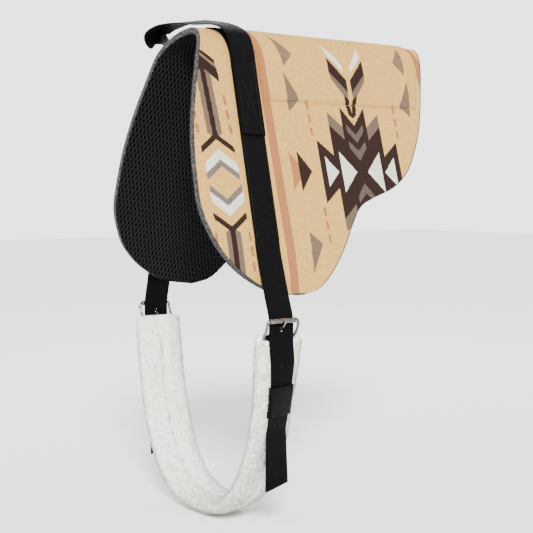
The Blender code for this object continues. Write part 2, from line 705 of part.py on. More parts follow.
def main():
    clear_scene()
    materials = {
        "cover": make_material("woven_cover", (0.79, 0.61, 0.38), 0.9),
        "felt": make_material("grey_felt", (0.28, 0.26, 0.26), 0.95),
        "liner": make_material("black_mesh_liner", (0.015, 0.015, 0.015), 0.8),
        "foam": make_material("seat_foam", (0.30, 0.30, 0.32), 0.9),
        "webbing": make_material("black_webbing", (0.012, 0.012, 0.012), 0.6),
        "fleece": make_material("white_fleece", (0.83, 0.83, 0.80), 1.0),
        "keeper": make_material("black_leather", (0.01, 0.01, 0.01), 0.35),
        "metal": make_material("nickel_plated_steel", (0.62, 0.58, 0.52), 0.3, 1.0),
    }
    make_pad(materials)
    make_strap(materials)
    make_handle(materials)
    webbing, sleeve, notches = make_girth(materials)
    swing = [webbing, sleeve, *notches]
    for side, prefix in ((-1, "near"), (1, "far")):
        swing.extend(make_tail(side, prefix + "_strap_tail", materials))
        swing.append(make_keeper(side, prefix + "_keeper", materials))
        swing.extend(make_buckle(side, prefix, materials))
    axis_point = (place_along(buckle_place), 0.0, pad_depth - buckle_drop)
    carry(swing, "girth_swing_axis", axis_point)


main()
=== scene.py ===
"""Dresses the bareback pad's frame: woven cover, felt, mesh liner, webbing, fleece and buckles.

Metres, +Z up. -X is the front of the horse, -Y the near side. The pad is cut flat and folded over
the back, so its layers and their pattern are worked out in flat coordinates, along the horse from
the ridge's front end and across from the ridge, and fold_point() lays them in place.
"""
import functools
import math

import bpy
import numpy as np
from bpy.props import FloatProperty, FloatVectorProperty, IntProperty, PointerProperty
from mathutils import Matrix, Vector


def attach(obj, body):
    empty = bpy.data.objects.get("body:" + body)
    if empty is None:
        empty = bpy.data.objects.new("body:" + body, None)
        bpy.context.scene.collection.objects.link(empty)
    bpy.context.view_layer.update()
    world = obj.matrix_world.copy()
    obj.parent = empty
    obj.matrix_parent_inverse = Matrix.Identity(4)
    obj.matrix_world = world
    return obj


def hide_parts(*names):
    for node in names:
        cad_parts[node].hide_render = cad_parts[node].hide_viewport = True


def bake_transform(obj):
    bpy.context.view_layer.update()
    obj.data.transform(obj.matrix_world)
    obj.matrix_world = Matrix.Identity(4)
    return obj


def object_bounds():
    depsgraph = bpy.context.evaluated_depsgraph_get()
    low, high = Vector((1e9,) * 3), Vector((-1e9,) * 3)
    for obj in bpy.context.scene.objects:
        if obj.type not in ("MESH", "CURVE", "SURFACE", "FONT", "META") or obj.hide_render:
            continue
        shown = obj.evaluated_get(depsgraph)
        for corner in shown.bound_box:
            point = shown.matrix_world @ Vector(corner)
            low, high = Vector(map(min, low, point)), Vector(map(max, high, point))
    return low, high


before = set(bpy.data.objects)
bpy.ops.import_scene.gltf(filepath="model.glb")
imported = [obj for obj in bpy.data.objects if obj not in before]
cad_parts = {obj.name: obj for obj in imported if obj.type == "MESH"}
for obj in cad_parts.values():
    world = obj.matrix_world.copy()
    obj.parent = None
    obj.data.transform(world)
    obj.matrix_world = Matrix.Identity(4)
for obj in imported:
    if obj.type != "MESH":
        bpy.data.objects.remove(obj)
cad_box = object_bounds()

bl_info = {
    "name": "Bareback pad",
    "version": (1, 0, 0),
    "blender": (4, 5, 0),
    "location": "View3D > Sidebar > Bareback pad",
    "description": "Builds the cloth, webbing, fleece and metal of a bareback pad round its frame",
    "category": "Object",
}

MM = 0.001
IMAGE_SIDE = 533


def linear(code):
    """An sRGB hex colour as linear red, green, blue and full alpha."""
    parts = [int(code[k:k + 2], 16) / 255 for k in (1, 3, 5)]
    return (*[c / 12.92 if c <= 0.04045 else ((c + 0.055) / 1.055) ** 2.4 for c in parts], 1.0)


def length(label, text, millimetres):
    """A length property in metres, its default given in millimetres."""
    return FloatProperty(name=label, description=text, default=millimetres * MM, unit="LENGTH")


def angle(label, text, degrees):
    """An angle property, its default given in degrees."""
    return FloatProperty(name=label, description=text, default=math.radians(degrees),
                         subtype="ANGLE")


def share(label, text, value):
    """A plain share of one."""
    return FloatProperty(name=label, description=text, default=value, subtype="FACTOR")


def colour(label, text, code):
    """A colour property, its default an sRGB hex value."""
    return FloatVectorProperty(name=label, description=text, default=linear(code), size=4,
                               min=0.0, max=1.0, subtype="COLOR")


class PadSizes(bpy.types.PropertyGroup):
    """Sizes of the folded pad, as in the frame's source."""
    spine_length: length("Spine length", "Length of the cut along the ridge", 530)
    half_drop: length("Half drop", "From the ridge to the hem along the cloth", 524)
    crown_radius: length("Crown radius", "Radius of the fold over the back", 78)
    flank_lean: angle("Flank lean", "Lean of the flanks from upright", 15.5)
    skirt_lean: angle("Skirt lean", "Lean of the lowest edge from upright", 6.0)
    skirt_share: share("Skirt share", "Where the skirt starts to straighten", 0.80)
    liner: length("Liner", "Thickness of the mesh liner", 2.0)
    felt: length("Felt", "Thickness of the felt core", 9.0)
    cover: length("Cover", "Thickness of the woven cover", 2.0)
    gap: length("Gap", "Air between pieces that touch", 0.3)
    seat_rise: length("Seat rise", "How far the padded seat stands up", 4.0)
    seat_inset: length("Seat inset", "Margin between the seat and the rear edge", 12.0)
    seat_feather: length("Seat feather", "Width of the seat's rounded border", 26.0)
    seat_half_width: length("Seat half width", "From the ridge to the seat's side seam", 176)
    seat_start: length("Seat start", "Front seam of the seat along the horse", 97)
    seat_end: length("Seat end", "Rear seam of the seat along the horse", 500)


class TackSizes(bpy.types.PropertyGroup):
    """Sizes of the webbing, buckles and girth.

    They are as in the frame's source, but for the strap's place, the tails' lean and slant and
    the keepers' length, which follow the photograph more closely.
    """
    webbing_width: length("Webbing width", "Width of the straps", 50.8)
    webbing: length("Webbing", "Thickness of the straps", 3.0)
    rib: length("Rib", "Pitch of the webbing's cross ribs", 4.4)
    ridge_place: length("Ridge place", "Strap's middle along the ridge", 61.5)
    hem_place: length("Hem place", "Strap's middle where it leaves the pad", 47.5)
    leaves_share: share("Leaves share", "Share of the half drop at which the strap leaves", 0.865)
    tail_length: length("Tail length", "Strap's free end below the buckle", 244)
    tail_lean: angle("Tail lean", "Inward lean of the hanging tail", -1.0)
    tail_slant: length("Tail slant", "How much lower the tail's end is at its front edge", 11)
    root_start: length("Root start", "From the ridge to the handle's sewn roots", 112)
    root_length: length("Root length", "Length of the handle's sewn roots", 130)
    buckle_reach: length("Buckle reach", "From the middle to the roller", 207)
    buckle_drop: length("Buckle drop", "From the ridge down to the roller", 504)
    buckle_place: length("Buckle place", "Buckle's middle along the horse", 50)
    buckle_height: length("Buckle height", "Between the heel bar and the roller", 32)
    buckle_lean: angle("Buckle lean", "Lean of the buckle's frame", 25.0)
    buckle_width: length("Buckle width", "Clear width inside the frame", 60)
    wire: length("Wire", "Thickness of the frame's wire", 5.0)
    bow: length("Bow", "How far the frame's sides bow outwards", 3.0)
    roller: length("Roller", "Outer diameter of the roller", 9.0)
    roller_length: length("Roller length", "Length of the roller", 55.0)
    tongue: length("Tongue", "Depth of the tongue's wire", 3.4)
    tongue_width: length("Tongue width", "Width of the tongue's wire", 4.4)
    split_radius: length("Split radius", "Where the frame's strap is split above the roller", 42)
    girth_half_width: length("Girth half width", "Half the girth's span at its top", 192)
    girth_top: length("Girth top", "From the ridge down to the girth's ends", 545)
    girth_bottom: length("Girth bottom", "From the ridge down to the girth's lowest line", 852)
    fleece_width: length("Fleece width", "Width of the fleece sleeve", 92)
    fleece: length("Fleece", "Thickness of the fleece sleeve", 27)
    mouth_length: length("Mouth length", "Tapered length at each mouth", 28)
    mouth_share: share("Mouth share", "Thickness left at each mouth", 0.62)
    girth_turn: angle("Girth turn", "How far the near half hangs turned", 13.0)
    turn_length: length("Turn length", "Distance over which it turns", 110)
    keeper_height: length("Keeper height", "Length of the keepers along the strap", 52)
    keeper_place: length("Keeper place", "From the girth's top to each keeper", 68)
    keeper_wall: length("Keeper wall", "Thickness of the keepers' leather", 2.0)
    tufts: IntProperty(name="Tufts", description="Tufts in the fleece's pile", default=47000)


class PadColours(bpy.types.PropertyGroup):
    """Yarn and finish colours."""
    tan: colour("Tan", "Ground yarn of the cover", "#BC9350")
    brown: colour("Brown", "Dark brown yarn", "#261915")
    grey: colour("Grey", "Grey yarn", "#4F453F")
    pale: colour("Pale", "Off-white yarn", "#CACABB")
    terracotta: colour("Terracotta", "Reddish yarn", "#925E3A")
    felt: colour("Felt", "Grey felt", "#232121")
    liner: colour("Liner", "Black mesh", "#0D0D0E")
    webbing: colour("Webbing", "Black webbing", "#050506")
    fleece: colour("Fleece", "White fleece", "#FFFEF4")
    leather: colour("Leather", "Black leather", "#070707")
    nickel: colour("Nickel", "Nickel plate", "#B9B4AC")
    floor: colour("Floor", "Plain pale floor", "#F4F4F2")


# Outline of half the cut: share of the spine length, share of the half drop
front_edge_shares = ((0.0, 0.0), (-0.058, 0.19), (-0.107, 0.37), (-0.131, 0.50), (-0.140, 0.62),
                     (-0.140, 0.70), (-0.122, 0.77), (-0.083, 0.85), (-0.010, 0.925),
                     (0.090, 0.98), (0.210, 1.0))
rear_edge_shares = ((1.0, 0.0), (0.972, 0.08), (0.938, 0.16), (0.915, 0.25), (0.885, 0.36),
                    (0.845, 0.46), (0.775, 0.57), (0.690, 0.635), (0.590, 0.672),
                    (0.520, 0.705), (0.468, 0.77), (0.415, 0.85), (0.355, 0.925),
                    (0.290, 0.98), (0.210, 1.0))


def oblong(x0, y0, x1, y1):
    """Corners of an upright rectangle."""
    return (x0, y0), (x1, y0), (x1, y1), (x0, y1)


def smooth_curve(points, count):
    """Catmull-Rom curve: each span is the cubic through its ends with its neighbours' slopes."""
    p = np.asarray(points, float)
    p = np.vstack([2 * p[0] - p[1], p, 2 * p[-1] - p[-2]])
    a, b, c, d = p[:-3, None], p[1:-2, None], p[2:-1, None], p[3:, None]
    t = np.linspace(0, 1, count, endpoint=False)[None, :, None]
    spans = 0.5 * (2 * b + (c - a) * t + (2 * a - 5 * b + 4 * c - d) * t ** 2
                   + (3 * b - a - 3 * c + d) * t ** 3)
    return np.vstack([spans.reshape(-1, p.shape[1]), p[-2:-1]])


def run_of(points):
    """Distance of each point from the first one, along the line."""
    return np.concatenate([[0], np.cumsum(np.linalg.norm(np.diff(points, axis=0), axis=1))])


def spaced(points, step):
    """The same line with points at even steps of about step, read off its run in space."""
    run = run_of(points[:, :3])
    wanted = np.linspace(0, run[-1], max(2, int(round(run[-1] / step)) + 1))
    return np.stack([np.interp(wanted, run, points[:, k]) for k in range(points.shape[1])], 1)


def unit(vectors):
    """The same directions at length one."""
    return vectors / np.linalg.norm(vectors, axis=-1)[..., None]


def boxy(turn, power):
    """Cosine and sine of a turn, each its sign times its size to a power: a superellipse."""
    both = np.stack([np.cos(turn), np.sin(turn)])
    return np.sign(both) * np.abs(both) ** power


def sizes():
    """The sizes of the pad and of its tack, as set in the sidebar."""
    return bpy.context.scene.pad_sizes, bpy.context.scene.tack_sizes


def pad_depth():
    """Thickness of the three layers with the air between them."""
    pad = bpy.context.scene.pad_sizes
    return pad.liner + pad.felt + pad.cover + 2 * pad.gap


def fold_point(along, across, height):
    """Lay flat coordinates over the back, height measured out from the cover's top.

    The half section is an arc of the crown's radius down to the flank's slope, then straight,
    and its slope eases to the skirt's below the skirt share. Reach and fall are the running
    sums of the slope's cosine and sine.
    """
    pad = bpy.context.scene.pad_sizes
    steps = np.linspace(0, 1, 1201)
    run = steps * pad.half_drop
    flank = math.pi / 2 - pad.flank_lean
    skirt = math.pi / 2 - pad.skirt_lean
    slope = np.minimum(run / pad.crown_radius, flank)
    ease = np.clip((steps - pad.skirt_share) / (1 - pad.skirt_share), 0, 1)
    slope = slope + (run > pad.crown_radius * flank) * ease * (skirt - flank)
    middle = 0.5 * (slope[1:] + slope[:-1])
    reach = np.concatenate([[0], np.cumsum(np.cos(middle) * run[1])])
    fall = np.concatenate([[0], np.cumsum(np.sin(middle) * run[1])])
    far = np.abs(across)
    turn = np.interp(far, run, slope)
    y = np.sign(across) * (np.interp(far, run, reach) + height * np.sin(turn))
    z = pad_depth() - np.interp(far, run, fall) + height * np.cos(turn)
    return np.stack([along - pad.spine_length / 2 + 0 * y, y, z], -1)


def cut_edges(across):
    """Front and rear edge of the cut at a distance across from the ridge."""
    pad = bpy.context.scene.pad_sizes
    scale = np.array([pad.spine_length, pad.half_drop])
    front, rear = (smooth_curve(np.vstack([half[3:0:-1] * [1, -1], half]) * scale, 24)
                   for half in (np.array(front_edge_shares), np.array(rear_edge_shares)))
    far = np.abs(across)
    return np.interp(far, front[:, 1], front[:, 0]), np.interp(far, rear[:, 1], rear[:, 0])


def edge_distance(along, across):
    """Distance in from the nearest edge of the cut, measured along or across it."""
    front, rear = cut_edges(across)
    return np.minimum(np.minimum(along - front, rear - along),
                      bpy.context.scene.pad_sizes.half_drop - np.abs(across))


def seat_border(along, across):
    """Distance in from the padded seat's seam, negative outside it."""
    pad = bpy.context.scene.pad_sizes
    rear = cut_edges(across)[1]
    end = np.minimum(pad.seat_end, rear - pad.seat_inset)
    return np.minimum(np.minimum(along - pad.seat_start, end - along),
                      pad.seat_half_width - np.abs(across))


def grid_cells(rows, columns):
    """Quads of a rows by columns grid of points, as an array with one row for each cell."""
    start = (np.arange(rows - 1)[:, None] * columns + np.arange(columns - 1)).ravel()
    return np.stack([start, start + 1, start + columns + 1, start + columns], 1)


def new_mesh(name, points, faces, material, flat=None):
    """A smooth mesh object from arrays; flat holds a pattern coordinate for each point.

    faces is one array of quads or triangles, or a list of such arrays. The volume is the sum of
    the fans' triple products, and a shell whose volume comes out negative is turned outwards.
    """
    groups = faces if isinstance(faces, list) else [faces]
    mesh = bpy.data.meshes.new(name)
    points = np.asarray(points, np.float32).reshape(-1, 3)
    volume = sum((points[g[:, 0]] * np.cross(points[g[:, k]], points[g[:, k + 1]])).sum()
                 for g in groups for k in range(1, g.shape[1] - 1))
    if volume < 0:
        groups = [g[:, ::-1] for g in groups]
    sizes = np.concatenate([np.full(len(g), g.shape[1]) for g in groups]).astype(np.int32)
    corners = np.concatenate([g.ravel() for g in groups]).astype(np.int32)
    starts = np.cumsum(sizes, dtype=np.int32) - sizes
    mesh.vertices.add(len(points))
    mesh.vertices.foreach_set("co", points.ravel())
    mesh.loops.add(len(corners))
    mesh.loops.foreach_set("vertex_index", corners)
    mesh.polygons.add(len(sizes))
    mesh.polygons.foreach_set("loop_start", starts)
    mesh.polygons.foreach_set("loop_total", sizes)
    mesh.update(calc_edges=True)
    if flat is not None:
        layer = mesh.uv_layers.new(name="flat")
        layer.data.foreach_set("uv", np.asarray(flat, np.float32).reshape(-1, 2)[corners].ravel())
    mesh.materials.append(material)
    mesh.polygons.foreach_set("use_smooth", np.ones(len(sizes), bool))
    mesh.update()
    piece = bpy.data.objects.new(name, mesh)
    bpy.context.collection.objects.link(piece)
    return piece


def sheet_faces(rows, columns, keep=None):
    """Faces of a closed sheet between two grids, over first and under after it.

    keep marks the cells that are there; a wall stands along every edge of the kept cells, round
    the outside and round each hole.
    """
    count = rows * columns
    keep = np.ones((rows - 1, columns - 1), bool) if keep is None else keep
    cells = grid_cells(rows, columns)[keep.ravel()]
    ring = np.pad(keep, 1)
    index = np.arange(count).reshape(rows, columns)
    corner = (index[:-1, :-1], index[:-1, 1:], index[1:, 1:], index[1:, :-1])
    walls = []
    for k, (down, right) in enumerate(((0, 1), (1, 2), (2, 1), (1, 0))):
        edge = keep & ~ring[down:down + rows - 1, right:right + columns - 1]
        a, b = corner[k][edge], corner[(k + 1) % 4][edge]
        walls.append(np.stack([b, a, a + count, b + count], 1))
    return np.concatenate([cells, cells[:, ::-1] + count, *walls])


def tube_faces(rows, columns, looped=False):
    """Quads of a tube of rings; looped joins the last ring to the first."""
    r, c = np.meshgrid(np.arange(rows if looped else rows - 1), np.arange(columns), indexing="ij")
    after, beside = (r + 1) % rows, (c + 1) % columns
    return np.stack([r * columns + c, r * columns + beside, after * columns + beside,
                     after * columns + c], -1).reshape(-1, 4)


def looped_mesh(name, rings, material):
    """A mesh of rings whose last one joins the first."""
    return new_mesh(name, rings, tube_faces(*rings.shape[:2], looped=True), material)


def sheet_mesh(name, over, under, material, flat=None, keep=None):
    """A closed sheet between two grids, with the same pattern coordinates on both."""
    return new_mesh(name, np.concatenate([over, under]), sheet_faces(*over.shape[:2], keep),
                    material, None if flat is None else np.concatenate([flat, flat]))


def set_inputs(tree, node, inputs):
    """Set or link sockets by name or number; a node given as a value is its first output."""
    for place, value in dict(inputs).items():
        if isinstance(value, bpy.types.Node):
            value = value.outputs[0]
        if isinstance(value, bpy.types.NodeSocket):
            tree.links.new(value, node.inputs[place])
        else:
            node.inputs[place].default_value = value


def add_node(tree, kind, inputs=(), stops=(), **settings):
    """Add one shader node with its settings, its links and its colour ramp's stops, if any."""
    node = tree.nodes.new("ShaderNode" + kind)
    for key, value in settings.items():
        setattr(node, key, value)
    set_inputs(tree, node, inputs)
    for k, (at, tint) in enumerate(stops):
        stop = node.color_ramp.elements[k] if k < 2 else node.color_ramp.elements.new(at)
        stop.position, stop.color = at, tint
    return node


def shaded(material, inputs):
    """The same material with its shader's inputs set or linked."""
    set_inputs(material.node_tree, material.node_tree.nodes["Principled BSDF"], inputs)
    return material


def start_material(name, roughness, metallic=0.0):
    """A material with nothing but its shader, and the function that adds nodes to it."""
    material = bpy.data.materials.new(name)
    material.use_nodes = True
    return (shaded(material, {"Roughness": roughness, "Metallic": metallic}),
            functools.partial(add_node, material.node_tree))


def finish_piece(piece, body, slot, *nodes):
    """Ride on a body and stand for the frame's nodes; slot is not used."""
    if body:
        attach(piece, body)
    if nodes:
        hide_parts(*nodes)
    return piece


# The weave's ornament, in millimetres of the flat cut. Each shape is a convex outline in folded
# coordinates, painted in this order: "middle" measures out from the pad's middle along the horse
# and across from the ridge, "medallion" also folds across at the medallion's middle, and
# "column" folds both ways about the middle of the front column, which leans. The last number is
# the share of the yarn in each thread on average, so that a low one is stippled.
pattern_middle = 293
medallion_middle = 304
column_along, column_across = -18, 326
column_lean = 0.05
pattern_shapes = (
    ("middle", "terracotta", oblong(187, 0, 204, 600), 0.94),
    ("middle", "grey", ((158, 44), (123, 87), (147, 111)), 0.82),
    ("medallion", "grey", ((151, 184), (122, 132), (148, 110)), 0.88),
    ("medallion", "terracotta", ((166, 36), (147, 14), (147, -1), (164, -1)), 0.92),
    ("medallion", "brown", ((148, -1), (148, 38), (118, -1)), 1.0),
    *(("medallion", "terracotta", oblong(102, low, 107.5, high), 1.0)
      for low, high in ((116, 132), (91, 107), (67, 82))),
    ("middle", "pale", ((46, 55), (8, 103), (9, 114), (39, 83)), 0.95),
    ("middle", "brown", ((43, 87), (5, 128), (5, 152), (43, 115)), 1.0),
    ("middle", "grey", ((43, 115), (5, 152), (6, 172), (41, 128)), 0.92),
    ("middle", "brown", ((16, 158), (4, 166), (-2, 203), (9, 195)), 1.0),
    ("medallion", "brown", ((62, -1), (97, -1), (97, 59), (62, 31)), 1.0),
    ("medallion", "brown", ((29, -1), (62, -1), (62, 89), (29, 61)), 1.0),
    ("medallion", "grey", ((29, 61), (62, 89), (62, 113), (29, 86)), 0.92),
    ("medallion", "brown", ((-1, -1), (29, -1), (29, 124), (-1, 88)), 1.0),
    ("medallion", "grey", ((-1, 70), (20, 91), (20, 78), (-1, 54)), 0.92),
    ("medallion", "grey", ((-1, 40), (20, 59), (20, 46), (-1, 20)), 0.92),
    ("medallion", "pale", ((13, 0), (49, -39), (49, 39)), 0.96),
    ("medallion", "pale", ((56, 0), (84, -29), (84, 29)), 0.96),
    ("column", "brown", ((-1, 240), (29, 218), (29, 210), (-1, 232)), 1.0),
    ("column", "grey", ((-1, 232), (29, 210), (30, 203), (-1, 224)), 0.85),
    ("column", "brown", ((-1, 226), (31, 202), (31, 178), (-1, 204)), 1.0),
    ("column", "grey", ((-1, 205), (15, 192), (15, 86), (-1, 76)), 0.90),
    ("column", "brown", ((-1, 210), (5, 206), (5, 80), (-1, 80)), 1.0),
    ("column", "brown", ((-1, 88), (33, 63), (34, 51), (-1, 76)), 1.0),
    ("column", "pale", ((-1, -1), (33, -1), (33, 33), (-1, 59)), 0.96),
    ("column", "grey", ((-1, -1), (33, -1), (33, 16), (-1, 41)), 0.92),
    ("column", "tan", ((-1, -1), (34, -1), (34, 3), (-1, 29)), 1.0),
    *(("column", "terracotta", oblong(31, low, 36.5, high), 1.0)
      for low, high in ((137, 154), (111, 128), (86, 102))),
)
thread_step = 1.3 * MM
# Half the pitch of the liner's pits along a row, the pitch of its rows and their turn
pit_pitch = (4.15 * MM, 9.5 * MM)
pit_turn = math.radians(11.0)


def crossed_waves(add, flat, along, across):
    """Height of a weave: a sine along the cloth times one across it, each with its pitch."""
    pace = (2 * math.pi / along, 2 * math.pi / across, 1.0)
    waves = add("VectorMath", {0: flat, 1: pace}, operation="MULTIPLY")
    waves = add("VectorMath", {0: waves}, operation="SINE")
    waves = add("SeparateXYZ", {0: waves})
    return add("Math", {0: waves.outputs[0], 1: waves.outputs[1]}, operation="MULTIPLY")


def woven_wool():
    """Woven saddle cloth of acrylic and wool: dry and dull, ribbed by its weft, its colours in
    heathered yarn, so that each thread differs a little and diagonals climb in thread steps."""
    material, add = start_material("woven_saddle_cloth", 0.93)
    yarn = bpy.context.scene.pad_colours
    flat = add("UVMap", uv_map="flat")
    # Threads are 0.8 mm in the real cloth and drawn 1.3 mm apart, so that they show
    cell = add("VectorMath", {0: flat, 1: (thread_step, thread_step, 1.0)}, operation="SNAP")
    cell = add("VectorMath", {0: cell, 1: (thread_step / 2, thread_step / 2, 0.0)})
    split = add("SeparateXYZ", {0: cell})
    draw = add("TexWhiteNoise", {0: cell}, noise_dimensions="2D")

    def folded(value, middle):
        """Distance from a middle line."""
        moved = add("Math", {0: value, 1: middle * MM}, operation="SUBTRACT")
        return add("Math", {0: moved}, operation="ABSOLUTE")

    across = folded(split.outputs[1], 0.0)
    # The front column leans forward towards the ridge
    above = add("Math", {0: column_across * MM, 1: across}, operation="SUBTRACT")
    above = add("Math", {0: above, 1: 0.0}, operation="MAXIMUM")
    upright = add("Math", {0: above, 1: column_lean, 2: split.outputs[0]},
                  operation="MULTIPLY_ADD")
    middle = folded(split.outputs[0], pattern_middle)
    folds = {"middle": (middle, across), "medallion": (middle, folded(across, medallion_middle)),
             "column": (folded(upright, column_along), folded(across, column_across))}
    folds = {key: add("CombineXYZ", {0: x, 1: y, 2: 1.0}) for key, (x, y) in folds.items()}
    painted = yarn.tan
    for fold, name, corners, threads in pattern_shapes:
        # Inside every edge, as the least distance in from the edges' lines
        points = np.array(corners, float) * MM
        after = np.roll(points, -1, axis=0)
        turn = np.sign(np.sum(points[:, 0] * after[:, 1] - points[:, 1] * after[:, 0]))
        inward = unit(np.stack([points[:, 1] - after[:, 1], after[:, 0] - points[:, 0]], 1)) * turn
        inside = None
        for (nx, ny), offset in zip(inward, -np.sum(inward * points, axis=1)):
            edge = add("VectorMath", {0: folds[fold], 1: (nx, ny, offset)},
                       operation="DOT_PRODUCT").outputs["Value"]
            if inside is not None:
                edge = add("Math", {0: inside, 1: edge}, operation="MINIMUM")
            inside = edge
        inside = add("Math", {0: inside, 1: 0.0}, operation="GREATER_THAN")
        # Of each thread that much is this yarn, more or less by its own draw
        loose = 2.4 * (1 - threads)
        taken = add("Math", {0: draw, 1: loose, 2: threads - loose / 2}, operation="MULTIPLY_ADD",
                    use_clamp=True)
        taken = add("Math", {0: inside, 1: taken}, operation="MULTIPLY")
        painted = add("Mix", {0: taken, 6: painted, 7: getattr(yarn, name)},
                      data_type="RGBA").outputs[2]
    # Threads are a shade lighter or darker, in streaks of 36 by 1.6 mm along the weft
    streak = add("VectorMath", {0: flat, 1: (28.0, 620.0, 1.0)}, operation="MULTIPLY")
    streak = add("TexNoise", {0: streak, "Scale": 1.0, "Detail": 2.0})
    shade = add("Math", {0: draw, 1: streak}, operation="ADD")
    shade = add("MapRange", {0: shade, 1: 0.1, 2: 1.9, 3: 0.62, 4: 1.34})
    painted = add("VectorMath", {0: painted, 1: shade}, operation="MULTIPLY")
    # Each thread stands up as a rounded rib across the weft
    weave = crossed_waves(add, flat, thread_step, thread_step)
    relief = add("Math", {0: weave, 1: 0.5, 2: draw}, operation="MULTIPLY_ADD")
    bump = add("Bump", {"Strength": 0.55, "Distance": 0.5 * MM, "Height": relief})
    return shaded(material, {"Base Color": painted, "Normal": bump, "Specular IOR Level": 0.1})


def pressed_felt():
    """Pressed wool felt cut with a blade: matt, speckled with light and dark fibre at its edge."""
    material, add = start_material("pressed_wool_felt", 1.0)
    place = add("TexCoord").outputs["Object"]
    # Clumps of fibre of 3 mm with flecks of 1.3 mm on them
    clump = add("TexNoise", {0: place, "Scale": 1 / (3 * MM), "Detail": 3.0})
    fleck = add("TexVoronoi", {0: place, "Scale": 1 / (1.3 * MM)})
    mixed = add("Math", {0: fleck, 1: 0.5, 2: clump}, operation="MULTIPLY_ADD")
    ramp = add("ValToRGB", {0: mixed}, (
        (0.62, linear("#161616")), (0.98, linear("#605C59")),
        (0.78, bpy.context.scene.pad_colours.felt)))
    bump = add("Bump", {"Strength": 0.9, "Distance": 1.0 * MM, "Height": mixed})
    return shaded(material, {"Base Color": ramp, "Normal": bump})


def rubber_mesh():
    """Waffle-weave polyester dipped in PVC, to grip the horse: black, with painted shade darkening
    its pits and a painted dull gleam lightening the ribs between them."""
    material, add = start_material("pvc_waffle_mesh", 0.6)
    flat = add("UVMap", uv_map="flat")
    turned = add("VectorRotate", {0: flat, "Angle": -pit_turn}, rotation_type="Z_AXIS")
    # Staggered pits: a cosine along each row times the cube of one across the rows
    pace = (math.pi / pit_pitch[0], math.pi / pit_pitch[1], 1.0)
    turned = add("VectorMath", {0: turned, 1: pace, 2: [math.pi / 2] * 3},
                 operation="MULTIPLY_ADD")
    waves = add("VectorMath", {0: turned}, operation="SINE")
    waves = add("SeparateXYZ", {0: waves})
    pits = waves.outputs[0]
    for _ in range(3):
        pits = add("Math", {0: pits, 1: waves.outputs[1]}, operation="MULTIPLY")
    # Painted shade and painted highlight: the base colour is darkest in the pits and lighter on
    # the ribs, the painted gleam broken by a fine speckle
    gleam_speckle = add("TexNoise", {0: flat, "Scale": 420.0, "Detail": 3.0})
    rib = add("Math", {0: gleam_speckle, 1: 0.5, 2: pits}, operation="MULTIPLY_ADD")
    tint = add("MapRange", {0: rib, 1: 0.85, 2: -0.2, 3: 0.0, 4: 3.6})
    base = add("VectorMath", {0: bpy.context.scene.pad_colours.liner[:3], 1: tint},
               operation="MULTIPLY")
    bump = add("Bump", {"Strength": 1.0, "Distance": 1.3 * MM, "Height": tint})
    return shaded(material, {"Base Color": base, "Normal": bump, "Specular IOR Level": 0.02})


def eased(count, pull):
    """Shares from 0 to 1 that crowd towards both ends: t less pull times sin(2 pi t) / 2 pi."""
    t = np.linspace(0, 1, count + 1)
    return t - pull * np.sin(2 * math.pi * t) / (2 * math.pi)


def pad_rows(crown_count, flank_count, inset=0.0):
    """Distances across the cut from hem to hem, crowded at the seam and the hems."""
    pad = bpy.context.scene.pad_sizes
    crown = pad.seat_half_width * eased(crown_count, 0.7)
    hem = 0.9993 * pad.half_drop - inset
    flank = pad.seat_half_width + (hem - pad.seat_half_width) * eased(flank_count, 0.85)
    half = np.concatenate([crown, flank[1:]])
    return np.concatenate([-half[:0:-1], half])


def pad_columns(rows, counts, inset=0.0):
    """Places along the horse on each row: front edge, front seam, rear seam and rear edge lie on
    lines of the grid, and the columns between them crowd towards those lines."""
    pad = bpy.context.scene.pad_sizes
    front, rear = cut_edges(rows) + np.array([[inset], [-inset]])
    width = rear - front
    first = np.maximum(pad.seat_start, front + 0.15 * width)
    last = np.maximum(np.minimum(pad.seat_end, rear - pad.seat_inset), 0.5 * (first + rear))
    stops = (front, first, last, rear)
    parts = [front[:, None]]
    for start, end, count in zip(stops, stops[1:], counts):
        parts.append(start[:, None] + (end - start)[:, None] * eased(count, 0.8)[1:])
    return np.concatenate(parts, axis=1), rows[:, None] + np.zeros(sum(counts) + 1)


def edge_drop(along, across, radius, inset=0.0):
    """Fall of a rounded edge: radius less the height of a circle of that radius at its border."""
    short = np.clip(radius - edge_distance(along, across) + inset, 0, radius)
    return radius - np.sqrt(radius ** 2 - short ** 2)


# The cover ends this far inside the felt's edge
felt_show = 3.0 * MM
# Radii of the layers' rounded edges
cover_round, felt_round, liner_round = 0.9 * MM, 1.5 * MM, 0.8 * MM
# Share of the felt's rim that rises from under the cover
rim_ramp = 0.35
# The liner's furrows, and how deep the liner is sunk so that they stay clear of the felt
furrow_depth, sunk = 0.9 * MM, 0.3 * MM
# The foam ends this far inside the seat's seam
foam_margin = 7.5 * MM


def cover_height(along, across):
    """Cover's top over its flat cloth: the seat stands up inside its seam on a parabola, the
    seam pulls a crease into it with small puckers, and the cloth lies a little unevenly."""
    pad = bpy.context.scene.pad_sizes
    crease_depth, crease_width = 2.0 * MM, 2.2 * MM
    pucker_depth, pucker_reach = 0.30 * MM, 11 * MM
    uneven = 0.22 * MM
    border = seat_border(along, across)
    full = np.clip(border / pad.seat_feather, 0, 1)
    rise = (pad.seat_rise + pad.gap) * full * (2 - full)
    crease = crease_depth * np.exp(-(border / crease_width) ** 2)
    # The puckers' waves run along the side seams and across at the front and rear ones
    run = np.where(np.abs(pad.seat_half_width - np.abs(across) - border) < 1e-9, along, across)
    pucker = pucker_depth * np.exp(-np.abs(border) / pucker_reach) * (
        np.sin(run / (3.1 * MM)) + np.sin(run / (5.3 * MM) + 1.0))
    wander = (np.sin(along / (47 * MM) + 2 * np.sin(across / (83 * MM)))
              + np.sin(across / (39 * MM) + 1.7 * np.sin(along / (71 * MM))))
    return rise - crease + pucker + uneven * wander


